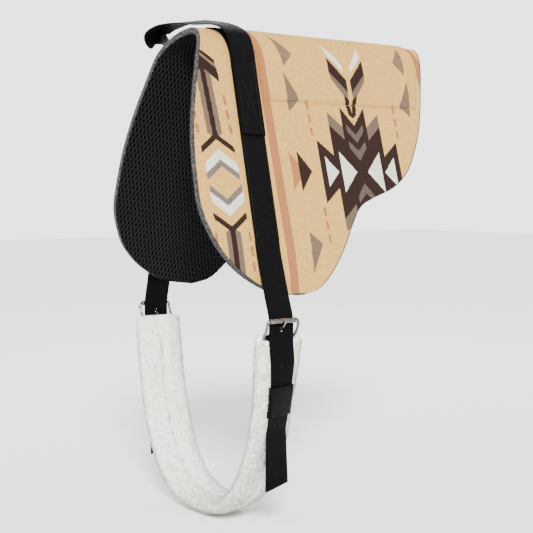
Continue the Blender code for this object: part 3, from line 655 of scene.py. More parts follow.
def make_cover():
    """The woven cover, one closed sheet over the felt, which shows all round its edge, with the
    padded seat's seam in it."""
    pad = bpy.context.scene.pad_sizes
    along, across = pad_columns(pad_rows(50, 96, felt_show), (30, 104, 12), felt_show)
    height = cover_height(along, across)
    drop = edge_drop(along, across, cover_round, felt_show)
    piece = sheet_mesh("woven_cover", fold_point(along, across, height - drop),
                       fold_point(along, across, height - pad.cover + drop), woven_wool(),
                       np.stack([along, across], -1))
    return finish_piece(piece, "pad", "cover", "top_cover")


def make_felt():
    """The felt core, seen as the speckled band at its cut edge: the rim beyond the cover stands
    up on a ramp, round the cover's edge, and is rounded off."""
    pad = bpy.context.scene.pad_sizes
    along, across = pad_columns(pad_rows(40, 110), (18, 12, 12))
    top = -pad.cover - pad.gap
    inside = edge_distance(along, across)
    rim = -top * np.clip((felt_show - inside) / (rim_ramp * felt_show), 0, 1)
    drop = edge_drop(along, across, felt_round)
    piece = sheet_mesh("felt_core_cut", fold_point(along, across, top + rim - drop),
                       fold_point(along, across, top - pad.felt + drop), pressed_felt())
    return finish_piece(piece, "pad", "felt", "felt_core")


def make_liner():
    """The mesh liner, furrowed on the side towards the horse by its rows of pits: a cosine of the
    place across the rows. Its hidden side is one strip of quads, with no points between edges."""
    pad = bpy.context.scene.pad_sizes
    rows = pad_rows(90, 160)
    front, rear = cut_edges(rows)
    along = front[:, None] + (rear - front)[:, None] * np.linspace(0, 1, 150)
    across = rows[:, None] + 0 * along
    over_rows = across * math.cos(pit_turn) - along * math.sin(pit_turn)
    furrow = 0.5 + 0.5 * np.cos(2 * math.pi * over_rows / pit_pitch[1])
    top = -pad.cover - 2 * pad.gap - pad.felt
    drop = edge_drop(along, across, liner_round)
    under = fold_point(along, across, top - pad.liner + drop + furrow_depth * furrow - sunk)
    count, columns = along.shape
    edge = (0, columns - 1)
    over = fold_point(along[:, edge], across[:, edge], top - sunk)
    whole = count * columns
    row = np.arange(count - 1)
    walls = [np.stack([row * columns + edge[k], (row + 1) * columns + edge[k],
                       whole + 2 * (row + 1) + k, whole + 2 * row + k], 1) for k in (0, 1)]
    ends = [np.append(np.arange(columns) + row * columns, [whole + 2 * row + 1, whole + 2 * row])
            for row in (0, count - 1)]
    faces = [grid_cells(count, columns), grid_cells(count, 2)[:, ::-1] + whole, walls[0],
             walls[1][:, ::-1], ends[0][None, ::-1], ends[1][None]]
    flat = np.stack([along, across], -1)
    piece = new_mesh("mesh_liner", np.concatenate([under.reshape(-1, 3), over.reshape(-1, 3)]),
                     faces, rubber_mesh(), np.concatenate([flat.reshape(-1, 2),
                                                           flat[:, edge].reshape(-1, 2)]))
    return finish_piece(piece, "pad", "liner", "grip_liner")


def seat_foam():
    """Open-cell foam, dull and grey, with cells of 1.5 mm; it is hidden by the cover."""
    material, add = start_material("open_cell_foam", 0.95)
    place = add("TexCoord").outputs["Object"]
    cells = add("TexVoronoi", {0: place, "Scale": 1 / (1.5 * MM)})
    ramp = add("ValToRGB", {0: cells}, ((0.0, linear("#3C3C40")), (1.0, linear("#77777C"))))
    return shaded(material, {"Base Color": ramp})


def make_seat():
    """The foam under the seat, feathered to nothing at its seam."""
    pad = bpy.context.scene.pad_sizes
    rows = (pad.seat_half_width - foam_margin) * np.linspace(-1, 1, 81)
    start = pad.seat_start + foam_margin
    end = np.minimum(pad.seat_end, cut_edges(rows)[1] - pad.seat_inset) - foam_margin
    along = start + (end - start)[:, None] * eased(60, 0.8)
    across = rows[:, None] + 0 * along
    full = np.clip(seat_border(along, across) / pad.seat_feather, 0, 1)
    crown = (pad.seat_rise + pad.gap) * full * (2 - full) - pad.cover - 2 * pad.gap
    piece = sheet_mesh("seat_foam", fold_point(along, across, crown),
                       fold_point(along, across, 0 * along - pad.cover), seat_foam())
    return finish_piece(piece, "pad", "foam", "seat_insert")


def make_stage():
    """Pale floor, soft studio light and the camera fitted to the photograph."""
    paper, _ = start_material("matt_paper", 0.9)
    shaded(paper, {"Base Color": bpy.context.scene.pad_colours.floor})
    side, low = 12.0, cad_box[0][2] - 4 * MM
    corners = [(x, y, low) for x, y in oblong(-side, -side, side, side)]
    new_mesh("floor", corners, np.array([[0, 1, 2, 3]]), paper)

    # The backdrop is seen brighter than the soft light that it gives
    world = bpy.data.worlds.new("studio")
    world.use_nodes = True
    seen = add_node(world.node_tree, "LightPath").outputs["Is Camera Ray"]
    power = add_node(world.node_tree, "MapRange", {0: seen, 3: 1.25, 4: 3.0})
    set_inputs(world.node_tree, world.node_tree.nodes["Background"],
               {0: (1.0, 1.0, 1.0, 1.0), 1: power})
    bpy.context.scene.world = world
    aim = np.array([0.0, 0.0, -0.35])
    for name, kind, place, size, power in (
            ("key", "SUN", (-1.5, -2.5, 1.6), math.radians(15), 7.8),
            ("fill", "AREA", (-2.6, 1.2, 0.5), 2.2, 40.0),
            ("rim", "AREA", (1.6, 1.8, 1.6), 1.6, 40.0)):
        lamp = bpy.data.lights.new(name, kind)
        setattr(lamp, "angle" if kind == "SUN" else "size", size)
        lamp.energy = power
        item = bpy.data.objects.new(name, lamp)
        look = aim - place
        item.location = place
        item.rotation_euler = (math.atan2(math.hypot(look[0], look[1]), -look[2]), 0.0,
                               math.atan2(-look[0], look[1]))
        bpy.context.collection.objects.link(item)

    # The lens is the focal length in pixels over the picture's side, times the sensor
    focal_pixels, look_down, look_right = 1156.0, 3.561, 36.708
    eye = bpy.data.cameras.new("camera")
    eye.sensor_width = 36.0
    eye.lens = focal_pixels / IMAGE_SIDE * eye.sensor_width
    eye.clip_end = 50.0
    camera = bpy.data.objects.new("camera", eye)
    camera.location = (-1.3855, -1.7300, -0.2800)
    camera.rotation_euler = (math.radians(90 - look_down), 0.0, math.radians(-look_right))
    bpy.context.collection.objects.link(camera)
    bpy.context.scene.camera = camera
    return camera


# The grab loop's free run from near to far, in shares of the crown radius: across, up
handle_path_shares = ((-1.00, -0.50), (-0.82, -0.14), (-0.42, 0.07), (0.10, 0.16), (0.72, 0.23),
                      (1.36, 0.20), (1.78, 0.10), (1.94, -0.02), (1.84, -0.12), (1.58, -0.20),
                      (1.32, -0.36), (1.13, -0.60))
# The band's tilt there, its front edge down, where it is greatest
handle_tilt = math.radians(12)
# Its drift along the horse: share of its run, share of its width
handle_drift_shares = ((0.0, 0.0), (0.19, -0.10), (0.50, -0.72), (0.65, -0.50), (0.87, -0.08),
                       (1.0, 0.0))
# Punched holes below the buckle's heel bar, in millimetres
hole_places = (43, 95, 147)
# Half lengths of the holes, of the tongue's slot above them and of the notch in the girth's loop
hole_reach, slot_reach, notch_reach = 1.5 * MM, 2.9 * MM, 11 * MM
# Half the width of the slot and of the holes
slot_half_width = 2.6 * MM
# How much further the hanging tails turn about their own line
tail_twist = math.radians(8)
# The strap lies this far over the flat cloth, clear of the cover's unevenness
strap_lift = 0.9 * MM
# Girth path's inner control points: share of its half width, share of its drop
girth_pull_shares = ((0.53, 1.0), (0.87, 0.93))
# Radius of the frame's corners and of the bore in its roller
frame_corner, roller_bore = 4.0 * MM, 2.9 * MM
# How deep the keepers sit in the fleece, and their slack over the tail
keeper_sunk, keeper_slack = 3 * MM, 1.5 * MM
# Stitches: their pitch, their rise, the thread's radius and how deep the seat's seam lies
stitch_pitch, stitch_rise, thread_radius, seam_sunk = 4.2 * MM, 0.25 * MM, 0.32 * MM, 1.5 * MM
# The tongue's shank between its ring and its tip, shares of the buckle's height: out, up
tongue_shares = ((-0.085, 0.27), (0.04, 0.52), (0.15, 0.77))


def buckle_along():
    """The buckles' middle along the horse, from the middle of the pad."""
    return (bpy.context.scene.tack_sizes.buckle_place
            - bpy.context.scene.pad_sizes.spine_length / 2)


def buckle_point(side, out, up):
    """Local buckle coordinates, out and up from the heel bar, turned by the buckle's lean."""
    tack = bpy.context.scene.tack_sizes
    out, up = np.asarray(out, float), np.asarray(up, float)
    sine, cosine = math.sin(tack.buckle_lean), math.cos(tack.buckle_lean)
    y = tack.buckle_reach + out * cosine + (up - tack.buckle_height) * sine
    z = pad_depth() - tack.buckle_drop - out * sine + (up - tack.buckle_height) * cosine
    return np.stack([side * y, z], -1)


def girth_frame(distance):
    """Points and outward normals of the girth, by distance from its near top, and its length.

    Each half is a cubic Bezier curve from the bottom to its top, and its normal is its slope
    turned a quarter.
    """
    tack = bpy.context.scene.tack_sizes
    t = np.linspace(1, 0, 801)[:, None]
    knots = np.array([(0, 1), *girth_pull_shares, (1, tack.girth_top / tack.girth_bottom)])
    knots = knots * [tack.girth_half_width, -tack.girth_bottom] + [0, pad_depth()]
    weights = np.hstack([(1 - t) ** 3, 3 * t * (1 - t) ** 2, 3 * t * t * (1 - t), t ** 3])
    line = weights @ knots
    run = run_of(line)
    distance = np.asarray(distance, float)
    side = np.where(distance <= run[-1], -1.0, 1.0)
    place = np.minimum(distance, 2 * run[-1] - distance)
    y, z, slope_y, slope_z = (np.interp(place, run, values)
                              for values in (*line.T, *np.gradient(line, run, axis=0).T))
    return (np.stack([side * y, z], -1), unit(np.stack([-side * slope_z, slope_y], -1)),
            2 * run[-1])


def girth_side(side, distance):
    """Distance from the girth's near top, for a distance from the top on a side."""
    return distance if side < 0 else girth_frame(0.0)[2] - distance


def girth_axes(distance):
    """The girth's own axes: across its width, outwards and along it, and its length.

    The near half hangs turned about its own line: the turn eases in over the turn length and
    fades to nothing at the bottom.
    """
    tack = bpy.context.scene.tack_sizes
    distance = np.asarray(distance, float)
    _, out, whole = girth_frame(distance)
    rise = np.clip(distance / tack.turn_length, 0, 1)
    fade = np.clip((whole / 2 - distance) / (whole / 2 - tack.turn_length), 0, 1)
    turn = (tack.girth_turn * rise ** 2 * (3 - 2 * rise) * fade * (2 - fade))[..., None]
    return (np.concatenate([np.cos(turn), -np.sin(turn) * out], -1),
            np.concatenate([np.sin(turn), np.cos(turn) * out], -1),
            np.stack([0 * distance, -out[..., 1], out[..., 0]], -1), whole)


def girth_point(distance, across, height):
    """Points of the girth at a distance along it, across its width and out from its line.

    Past its tops the line goes straight on.
    """
    inside = np.clip(distance, 0.0, girth_frame(0.0)[2])
    line = girth_frame(inside)[0]
    line = np.concatenate([np.full(line.shape[:-1] + (1,), buckle_along()), line], -1)
    wide, out, forward, _ = girth_axes(inside)
    return (line + np.asarray(across)[..., None] * wide + np.asarray(height)[..., None] * out
            + (distance - inside)[..., None] * forward)


def sleeve_depth(distance, whole):
    """Half the sleeve's thickness, eased in towards each mouth."""
    tack = bpy.context.scene.tack_sizes
    near_end = np.clip(np.minimum(distance, whole - distance) / tack.mouth_length, 0, 1)
    return 0.5 * tack.fleece * (tack.mouth_share + (1 - tack.mouth_share) * near_end)


def nylon_webbing():
    """Woven nylon webbing: black, with a dull gleam on its ribs and a little fuzz."""
    material, add = start_material("nylon_webbing", 0.38)
    flat = add("UVMap", uv_map="flat")
    # Picks of 1.6 mm along the strap cross warp ends of 1.1 mm
    weave = crossed_waves(add, flat, 1.6 * MM, 1.1 * MM)
    fuzz = add("TexNoise", {0: flat, "Scale": 240.0, "Detail": 4.0})
    tint = add("MapRange", {0: fuzz, 1: 0.3, 2: 0.75, 3: 0.7, 4: 1.9})
    base = add("VectorMath", {0: bpy.context.scene.pad_colours.webbing[:3], 1: tint},
               operation="MULTIPLY")
    bump = add("Bump", {"Strength": 0.6, "Distance": 0.35 * MM, "Height": weave})
    return shaded(material, {"Base Color": base, "Normal": bump, "Specular IOR Level": 0.03})


def band(name, centre, sideways, material, gone=None, slant=0.0):
    """A ribbed webbing band along a centre line; slant moves its front edge on at both ends.

    Its section is flat with round selvedges: half its thickness times the fourth root of one less
    the fourth power of its place across. Its picks stand as a cosine along it, shifted by a slow
    wave across. gone lists the holes, each with its row and its reach along the band, and their
    half width.
    """
    tack = bpy.context.scene.tack_sizes
    half = 0.5 * tack.webbing_width
    rib_height, rib_share, slow, slant_reach = 0.32 * MM, 0.9, 31 * MM, 60 * MM
    place = np.concatenate([[-1, -0.985, -0.94], np.linspace(-0.86, 0.86, 15), [0.94, 0.985, 1]])
    if gone is not None:
        slot = gone[1] / half
        place = np.sort(np.concatenate([place[np.abs(place) > slot + 0.02],
                                        slot * np.array([-1, -0.4, 0.4, 1])]))
    run = run_of(centre)
    thick = 0.5 * tack.webbing * np.clip(1 - place ** 4, 0.02, 1) ** 0.25
    wave = (run[:, None] / tack.rib + 0.16 * np.sin(9 * place)
            + 0.3 * np.sin(run / slow)[:, None])
    rib = rib_height * np.cos(2 * math.pi * wave) * (np.abs(place) < rib_share)
    forward = unit(np.gradient(centre, axis=0))
    sideways = unit(sideways - np.sum(sideways * forward, 1)[:, None] * forward)
    end = np.clip(1 - np.minimum(run, run[-1] - run) / slant_reach, 0, 1)
    end = end * np.sign(run - run[-1] / 2)
    spine = (centre[:, None] + (half * place)[:, None] * sideways[:, None]
             - 0.5 * slant * (end[:, None] * place)[..., None] * forward[:, None])
    rise = (thick + rib)[..., None] * np.cross(sideways, forward)[:, None]
    keep = np.ones((len(run) - 1, len(place) - 1), bool)
    if gone is not None:
        middle = 0.5 * (run[1:] + run[:-1])
        for at, reach in gone[0]:
            keep &= ~((np.abs(middle - run[at])[:, None] < reach)
                      & (np.abs(0.5 * (place[1:] + place[:-1])) < slot))
    flat = np.stack([run[:, None] + 0 * place, half * place + 0 * run[:, None]], -1)
    return sheet_mesh(name, spine + rise, spine - rise, material, flat, keep)


def strap_half(side):
    """The strap's centre line and width directions from the ridge to one tail's end.

    It lies on the folded cover, runs straight to the back of the roller, over the heel bar, down
    the sleeve's outer face to below the keeper and then hangs, turning a little more. The second
    result lists its slot and its punched holes, each with its row and its reach.
    """
    pad, tack = sizes()
    half = tack.webbing / 2
    rows = np.linspace(0, tack.leaves_share * pad.half_drop, 16)
    laid = fold_point(strap_middle(rows), side * rows, strap_lift + half)
    goal = buckle_point(side, -(tack.roller / 2 + half + 4 * pad.gap), tack.buckle_height)
    heel = buckle_point(side, tack.wire / 2 + 3 * half + 5 * pad.gap, 0.0)
    held = tack.keeper_place + tack.keeper_height + tack.mouth_length
    stations = np.linspace(0.5 * tack.mouth_length, held, 12)
    on_girth = girth_side(side, stations)
    line = girth_point(on_girth, 0 * stations,
                       sleeve_depth(stations, girth_frame(0.0)[2]) + 3 * pad.gap + half)
    wide = girth_axes(on_girth)[0]
    down = np.array([0.0, -side * math.sin(tack.tail_lean), -math.cos(tack.tail_lean)])
    drop = np.linspace(0, 1, 6)[1:, None]
    fall = line[-1] + (tack.tail_length - held) * drop * down
    more = -side * tail_twist * drop
    hanging = wide[-1] * np.cos(more) + np.cross(down, wide[-1]) * np.sin(more)
    bends = np.column_stack([np.full(2, buckle_along()), np.stack([goal, heel])])
    # A point on the way to the roller keeps the curve from swinging out where it leaves the pad
    centre = np.vstack([laid, 0.35 * laid[-1] + 0.65 * bends[0], bends, line, fall])
    plain = np.tile([1.0, 0.0, 0.0], (len(laid) + 3, 1))
    both = np.hstack([centre, np.vstack([plain, wide, hanging])])
    path = spaced(smooth_curve(both, 12), tack.rib / 4)
    slot = np.argmin(np.linalg.norm(path[:, 1:3] - (goal + heel) / 2, axis=1))
    low = np.where(path[:, 2] < heel[1] - 20 * MM, path[:, 2], 0.0)
    return path, [(int(slot), slot_reach)] + [
        (int(np.argmin(np.abs(low - heel[1] + place * MM))), hole_reach) for place in hole_places]


def strap_middle(across):
    """The strap's middle along the horse, at a distance across from the ridge."""
    pad, tack = sizes()
    part = np.abs(across) / (tack.leaves_share * pad.half_drop)
    return tack.ridge_place + (tack.hem_place - tack.ridge_place) * part


def make_strap():
    """The rigging strap: one webbing from tail to tail, bent at both rollers."""
    tack = bpy.context.scene.tack_sizes
    (near, near_holes), (far, far_holes) = strap_half(-1), strap_half(1)
    path = np.vstack([near[:0:-1], far])
    last = len(near) - 1
    holes = ([(last - row, reach) for row, reach in near_holes]
             + [(last + row, reach) for row, reach in far_holes])
    piece = band("webbing_strap", path[:, :3], path[:, 3:], nylon_webbing(),
                 (holes, slot_half_width), tack.tail_slant)
    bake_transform(piece)
    return finish_piece(piece, None, "webbing", "rigging_strap", "near_strap_tail",
                        "far_strap_tail")


def handle_path():
    """The grab loop's centre line: its roots flat on the strap, its slack run arched between."""
    pad, tack = sizes()
    height = strap_lift + pad.gap + 1.5 * tack.webbing
    root = tack.root_start + tack.root_length * np.linspace(1, 0, 8)
    near_root = fold_point(strap_middle(root), -root, height)
    far_root = fold_point(strap_middle(root), root, height)[::-1]
    free = np.array(handle_path_shares) * pad.crown_radius + [0.0, pad_depth()]
    x = np.full(len(free), near_root[-1, 0])
    line = smooth_curve(np.vstack([near_root[-1:], np.column_stack([x, free]), far_root[:1]]), 12)
    drift = smooth_curve(np.array(handle_drift_shares), 12)
    line[:, 0] += tack.webbing_width * np.interp(np.linspace(0, 1, len(line)), *drift.T)
    return spaced(np.vstack([near_root[:-1], line, far_root[1:]]), tack.rib / 4)


def make_handle():
    """The grab loop of the same webbing, tilted where it runs free."""
    path = handle_path()
    # The tilt swells as a squared sine between the ridge's near side and the loop's far bend
    crown = bpy.context.scene.pad_sizes.crown_radius
    free = np.clip((path[:, 1] + 0.8 * crown) / (2.3 * crown), 0, 1) * (path[:, 2] > pad_depth())
    tilt = handle_tilt * np.sin(math.pi * free) ** 2
    sideways = np.stack([np.cos(tilt), 0 * tilt, np.sin(tilt)], -1)
    piece = band("grab_handle", path, sideways, nylon_webbing())
    return finish_piece(piece, "pad", "webbing", "handle_strap")


def make_girth_webbing():
    """The load webbing: through the sleeve and round each heel bar, notched for the tongue."""
    pad, tack = sizes()
    step = girth_frame(0.0)[2] / 32
    pair = tack.webbing / 2 + pad.gap
    wrap = tack.wire / 2 + pad.gap + tack.webbing / 2
    turn = np.radians(np.linspace(200, -20, 9))
    ends = []
    for side in (-1, 1):
        stations = girth_side(side, step * np.arange(3))
        loop = np.column_stack([np.full(9, buckle_along()),
                                buckle_point(side, wrap * np.cos(turn), wrap * np.sin(turn))])
        inner = girth_point(stations[::-1], 0 * stations, 0 * stations - pair)
        outer = girth_point(stations[:2], np.zeros(2), np.full(2, pair))
        at = np.concatenate([stations[::-1], np.full(9, stations[0]), stations[:2]])
        ends.append(np.hstack([np.vstack([inner, loop, outer]), girth_axes(at)[0]]))
    middle = step * np.arange(2, 31)
    middle = np.hstack([girth_point(middle, 0 * middle, 0 * middle), girth_axes(middle)[0]])
    path = spaced(smooth_curve(np.vstack([ends[0], middle, ends[1][::-1]]), 8), tack.rib / 4)
    heels = [(int(np.argmin(np.linalg.norm(path[:, 1:3] - buckle_point(side, 0.0, wrap), axis=1))),
              notch_reach) for side in (-1, 1)]
    piece = band("girth_load_webbing", path[:, :3], path[:, 3:], nylon_webbing(),
                 (heels, tack.tongue_width))
    return finish_piece(piece, "girth", "webbing", "girth_webbing")


def lumps(points, wavelength, seed):
    """Smooth noise about 0: the sum of twelve sine waves in random directions over root twelve."""
    draw = np.random.default_rng(seed)
    waves = unit(draw.normal(size=(12, 3))) * 2 * math.pi
    waves = waves / (wavelength * draw.uniform(0.7, 1.5, (12, 1)))
    return np.sin(points @ waves.T + draw.uniform(0, 2 * math.pi, 12)).sum(axis=-1) / 3.46


# The sleeve goes on past the girth's tops, and its section is a superellipse of this power
sleeve_past = 9 * MM
sleeve_power = 0.74
# The fleece is drawn in by its seam as deep as this, and bare beside it and under its straps
seam_depth, seam_gap = 7.5 * MM, 2.2 * MM
strapped_length = 150 * MM
# Lumps of the fleece, and the flat bore that the girth's webbing fills
swell_height, swell_length = 0.55 * MM, 26 * MM
bore_width, bore_half_height = 53.6 * MM, 4.0 * MM
# Least and most of a tuft's height and of the radius of its foot, in millimetres
tuft_height, tuft_radius = (2.6, 5.6), (0.5, 0.8)


def seam_wave(distance):
    """How far the seam strays from the sleeve's middle: two sines, of 240 and 90 mm."""
    return 1.6 * MM * np.sin(distance / (38 * MM)) + 1.0 * MM * np.sin(distance / (14 * MM))


def sleeve_surface(distance, turn):
    """Outer face of the fleece: a superellipse about the girth, seamed down its inner face.

    Its place across is the cosine and its depth the sine of the turn, each to the power that
    makes it boxy. It closes round the webbing at each mouth on a quarter circle of 5 mm, to 0.86
    of its width and 0.3 of its depth, and its inner face stands higher there than its outer one.
    """
    whole = girth_frame(0.0)[2]
    across, depth = boxy(turn, sleeve_power)
    end = np.minimum(distance, whole - distance)
    closing = np.clip((end + sleeve_past) / (5 * MM), 0, 1)
    closing = np.sqrt(np.clip(1 - (1 - closing) ** 2, 0, 1))
    x = 0.5 * bpy.context.scene.tack_sizes.fleece_width * across * (0.86 + 0.14 * closing)
    high = sleeve_depth(distance, whole) * depth * (0.30 + 0.70 * closing)
    sewn = np.clip((end - 22 * MM) / (12 * MM), 0, 1) * (depth < 0)
    high = high + seam_depth * sewn * np.exp(-((x - seam_wave(distance)) / (3.0 * MM)) ** 2)
    # The inner face reaches 9 mm higher, over the last 50 mm
    rise = 9 * MM * np.clip(-1.6 * depth, 0, 1) * np.clip(1 - end / (50 * MM), 0, 1) ** 2
    return girth_point(distance - rise * np.sign(whole / 2 - distance), x, high)


def sheepskin_fleece():
    """Acrylic sherpa fleece: white and quite matt, with painted shade that makes it creamier in
    the hollows of its pile.
    """
    material, add = start_material("acrylic_fleece", 1.0)
    place = add("TexCoord").outputs["Object"]
    # Clumps of pile of 9 mm, fibres of 1.6 mm
    clump = add("TexNoise", {0: place, "Scale": 1 / (9 * MM), "Detail": 4.0})
    fibre = add("TexNoise", {0: place, "Scale": 1 / (1.6 * MM), "Detail": 2.0})
    # Painted shade: the colour turns cream where the clumps are low, in the hollows of the pile
    ramp = add("ValToRGB", {0: clump}, (
        (0.3, linear("#EEEADC")), (0.62, bpy.context.scene.pad_colours.fleece)))
    both = add("Math", {0: clump, 1: fibre}, operation="ADD")
    bump = add("Bump", {"Strength": 0.85, "Distance": 1.8 * MM, "Height": both})
    return shaded(material, {"Base Color": ramp, "Normal": bump, "Sheen Weight": 0.2,
                             "Specular IOR Level": 0.1})


def make_fleece():
    """The fleece sleeve: a soft lumpy tube round the girth's webbing, and its pile of tufts."""
    tack = bpy.context.scene.tack_sizes
    whole = girth_frame(0.0)[2]
    rows = np.linspace(-sleeve_past, whole + sleeve_past, 440)
    turn = np.linspace(0, 2 * math.pi, 72, endpoint=False)
    outer = sleeve_surface(rows[:, None] + 0 * turn, turn + 0 * rows[:, None])
    centre = outer.mean(axis=1, keepdims=True)
    swell = swell_height * lumps(outer, swell_length, 3) + 0.3 * MM * lumps(outer, 8 * MM, 4)
    outer = outer + unit(outer - centre) * swell[..., None]
    back = np.linspace(whole + 4 * MM, -4 * MM, 60)[:, None]
    bore = 0.5 * bore_width * boxy(turn, 0.3)[0]
    inner = girth_point(back + 0 * turn, bore + 0 * back,
                        bore_half_height * np.sin(turn) + 0 * back)
    material = sheepskin_fleece()
    sleeve = looped_mesh("fleece_girth_sleeve", np.concatenate([outer, inner]), material)
    finish_piece(sleeve, "girth", "fleece", "fleece_sleeve")

    # No tufts under the straps or in the seam
    draw = np.random.default_rng(11)
    at = draw.uniform(-8 * MM, whole + 8 * MM, 2 * tack.tufts)
    around = draw.uniform(0, 2 * math.pi, 2 * tack.tufts)
    x = 0.5 * tack.fleece_width * boxy(around, sleeve_power)[0]
    end = np.minimum(at, whole - at)
    strapped = ((np.sin(around) > 0) & (np.abs(x) < 0.5 * tack.webbing_width)
                & (end < strapped_length))
    sewn = (np.sin(around) < 0) & (np.abs(x - seam_wave(at)) < seam_gap) & (end > 24 * MM)
    free = np.flatnonzero(~strapped & ~sewn)[:tack.tufts]
    at, around, count = at[free], around[free], len(free)
    root = sleeve_surface(at, around)
    along = sleeve_surface(at + 0.1 * MM, around) - root
    beside = sleeve_surface(at, around + 0.02) - root
    normal = unit(np.cross(beside, along) + 1e-12)
    root = root + normal * (swell_height * lumps(root, swell_length, 3) - 0.6 * MM)[:, None]
    comb = 0.5 * unit(along) + 0.5 * unit(beside) * lumps(root, 30 * MM, 5)[:, None]
    lean = unit(normal + comb + 0.5 * draw.normal(size=(count, 3)))
    side = unit(np.cross(lean, draw.normal(size=(count, 3))))
    other = np.cross(lean, side)
    tall = draw.uniform(*tuft_height, count)[:, None] * MM
    wide = draw.uniform(*tuft_radius, count)[:, None] * MM
    spins = 2 * math.pi * np.arange(3) / 3
    layers = [root + wide * (math.cos(spin) * side + math.sin(spin) * other) for spin in spins]
    points = np.stack(layers + [root + tall * lean], 1).reshape(-1, 3)
    cone = np.array([[0, 1, 3], [1, 2, 3], [2, 0, 3], [2, 1, 0]])
    pile = new_mesh("fleece_pile", points,
                    (4 * np.arange(count)[:, None, None] + cone).reshape(-1, 3), material)
    # Each tuft is shaded mostly as the face it stands on, so that the pile looks soft
    soft = np.repeat(unit(normal + 0.75 * lean), 4, axis=0)
    pile.data.normals_split_custom_set_from_vertices(soft.tolist())
    finish_piece(pile, "girth", "fleece")


def nickel_plate():
    """Nickel-plated steel: warm white metal, bright, with small dark flecks painted into its
    colour as a painted reflection of dark surroundings, and with fine scratches."""
    material, add = start_material("nickel_plated_steel", 0.2, 1.0)
    place = add("TexCoord").outputs["Object"]
    # Scratches 0.4 mm apart, drawn out across the bars
    drawn = add("VectorMath", {0: place, 1: (250.0, 2500.0, 2500.0)}, operation="MULTIPLY")
    worn = add("TexNoise", {0: drawn, "Scale": 1.0, "Detail": 3.0})
    rough = add("MapRange", {0: worn, 1: 0.35, 2: 0.75, 3: 0.14, 4: 0.36})
    bump = add("Bump", {"Strength": 0.15, "Distance": 0.05 * MM, "Height": worn})
    # Flecks of 1.5 mm: painted reflection, darker patches in the plate's colour that stand in for
    # dark surroundings mirrored in it
    fleck = add("TexNoise", {0: place, "Scale": 1 / (1.5 * MM), "Detail": 2.0})
    ramp = add("ValToRGB", {0: fleck}, (
        (0.44, linear("#35322E")), (0.64, bpy.context.scene.pad_colours.nickel)))
    return shaded(material, {"Base Color": ramp, "Roughness": rough, "Normal": bump})


def wire(centre, in_plane, out_axis, sides, closed=False):
    """Elliptic rings along a wire: cosine of the turn in its plane, sine along the axis."""
    forward = (np.roll(centre, -1, 0) - np.roll(centre, 1, 0) if closed
               else np.gradient(centre, axis=0))
    across = np.cross(out_axis, unit(forward))
    turn = np.linspace(0, 2 * math.pi, sides, endpoint=False)
    in_plane = np.broadcast_to(np.asarray(in_plane, float).reshape(-1, 1, 2), (len(centre), 1, 2))
    return (centre[:, None] + in_plane[..., :1] * np.cos(turn)[:, None] * across[:, None]
            + in_plane[..., 1:] * np.sin(turn)[:, None] * np.asarray(out_axis, float))


def capped(rings):
    """Faces of a tube of rings with a flat end at each end."""
    rows, columns = rings.shape[:2]
    first, last = np.arange(columns)[None], np.arange(columns)[None] + (rows - 1) * columns
    return [tube_faces(rows, columns), first[:, ::-1], last]


def make_buckles():
    """Frame, roller and tongue of both roller buckles."""
    pad, tack = sizes()
    metal = nickel_plate()
    x0, high = buckle_along(), tack.buckle_height
    path, _ = rounded_box(tack.buckle_width + tack.wire, high, frame_corner, 10)
    path = np.roll(path, 10, axis=0) + [0.0, high / 2]
    path = spaced(np.vstack([path, path[:1]]), 2 * MM)[:-1]
    bow = tack.bow * np.sin(math.pi * np.clip(path[:, 1] / high, 0, 1))
    # A rolled tube: its rim is turned in, and its seam is a shallow groove along it
    end, rim = tack.roller_length / 2, tack.roller / 2
    profile = np.array([(end, roller_bore), (end, rim - 0.8 * MM),
                        (end - 0.25 * MM, rim - 0.3 * MM), (end - 0.8 * MM, rim)])
    profile = np.vstack([profile * [-1, 1], [(0, rim)], profile[::-1]])
    around = np.linspace(0, 2 * math.pi, 48, endpoint=False)[:, None]
    groove = 0.35 * MM * np.exp(-((around - math.pi) / 0.06) ** 2)
    radius = profile[:, 1] - groove * (profile[:, 1] > rim - 0.5 * MM)
    # The tongue curls round the heel bar, rises as its shank and rests on the roller
    wrap = tack.wire / 2 + pad.gap + tack.tongue / 2
    curl = np.radians(np.linspace(420, 170, 14))
    tip = rim + 1.5 * pad.gap + tack.tongue / 2
    line = smooth_curve(np.vstack([
        np.column_stack([np.cos(curl), np.sin(curl)]) * wrap, np.array(tongue_shares) * high,
        [(tip, high - 0.6 * MM), (tip, high + tack.wire)]]), 4)
    left = np.minimum(np.arange(len(line)), np.arange(len(line))[::-1])
    blunt = np.sqrt(np.clip((left + 0.6) / 4, 0, 1))[:, None]
    for side, prefix in ((-1, "near"), (1, "far")):
        out = np.array([0.0, *(buckle_point(side, 1.0, 0.0) - buckle_point(side, 0.0, 0.0))])
        ring = np.column_stack([x0 + path[:, 0], buckle_point(side, bow, path[:, 1])])
        rings = wire(ring, (tack.wire / 2, tack.wire / 2), out, 16, closed=True)
        piece = looped_mesh(prefix + "_frame_wire", rings, metal)
        finish_piece(piece, "girth", "metal", prefix + "_buckle_frame")

        axle = buckle_point(side, 0.0, high)
        rings = np.stack([x0 + profile[:, 0] + 0 * radius, axle[0] + radius * np.cos(around),
                          axle[1] + radius * np.sin(around)], -1)
        piece = looped_mesh(prefix + "_roller_tube", rings, metal)
        finish_piece(piece, prefix + "_roller", "metal", prefix + "_buckle_roller")

        centre = np.column_stack([np.full(len(line), x0),
                                  buckle_point(side, line[:, 0], line[:, 1])])
        rings = wire(centre, 0.5 * np.array([tack.tongue, tack.tongue_width]) * blunt,
                     (1.0, 0.0, 0.0), 16)
        piece = new_mesh(prefix + "_tongue_wire", rings, capped(rings), metal)
        finish_piece(piece, prefix + "_tongue", "metal", prefix + "_buckle_tongue")


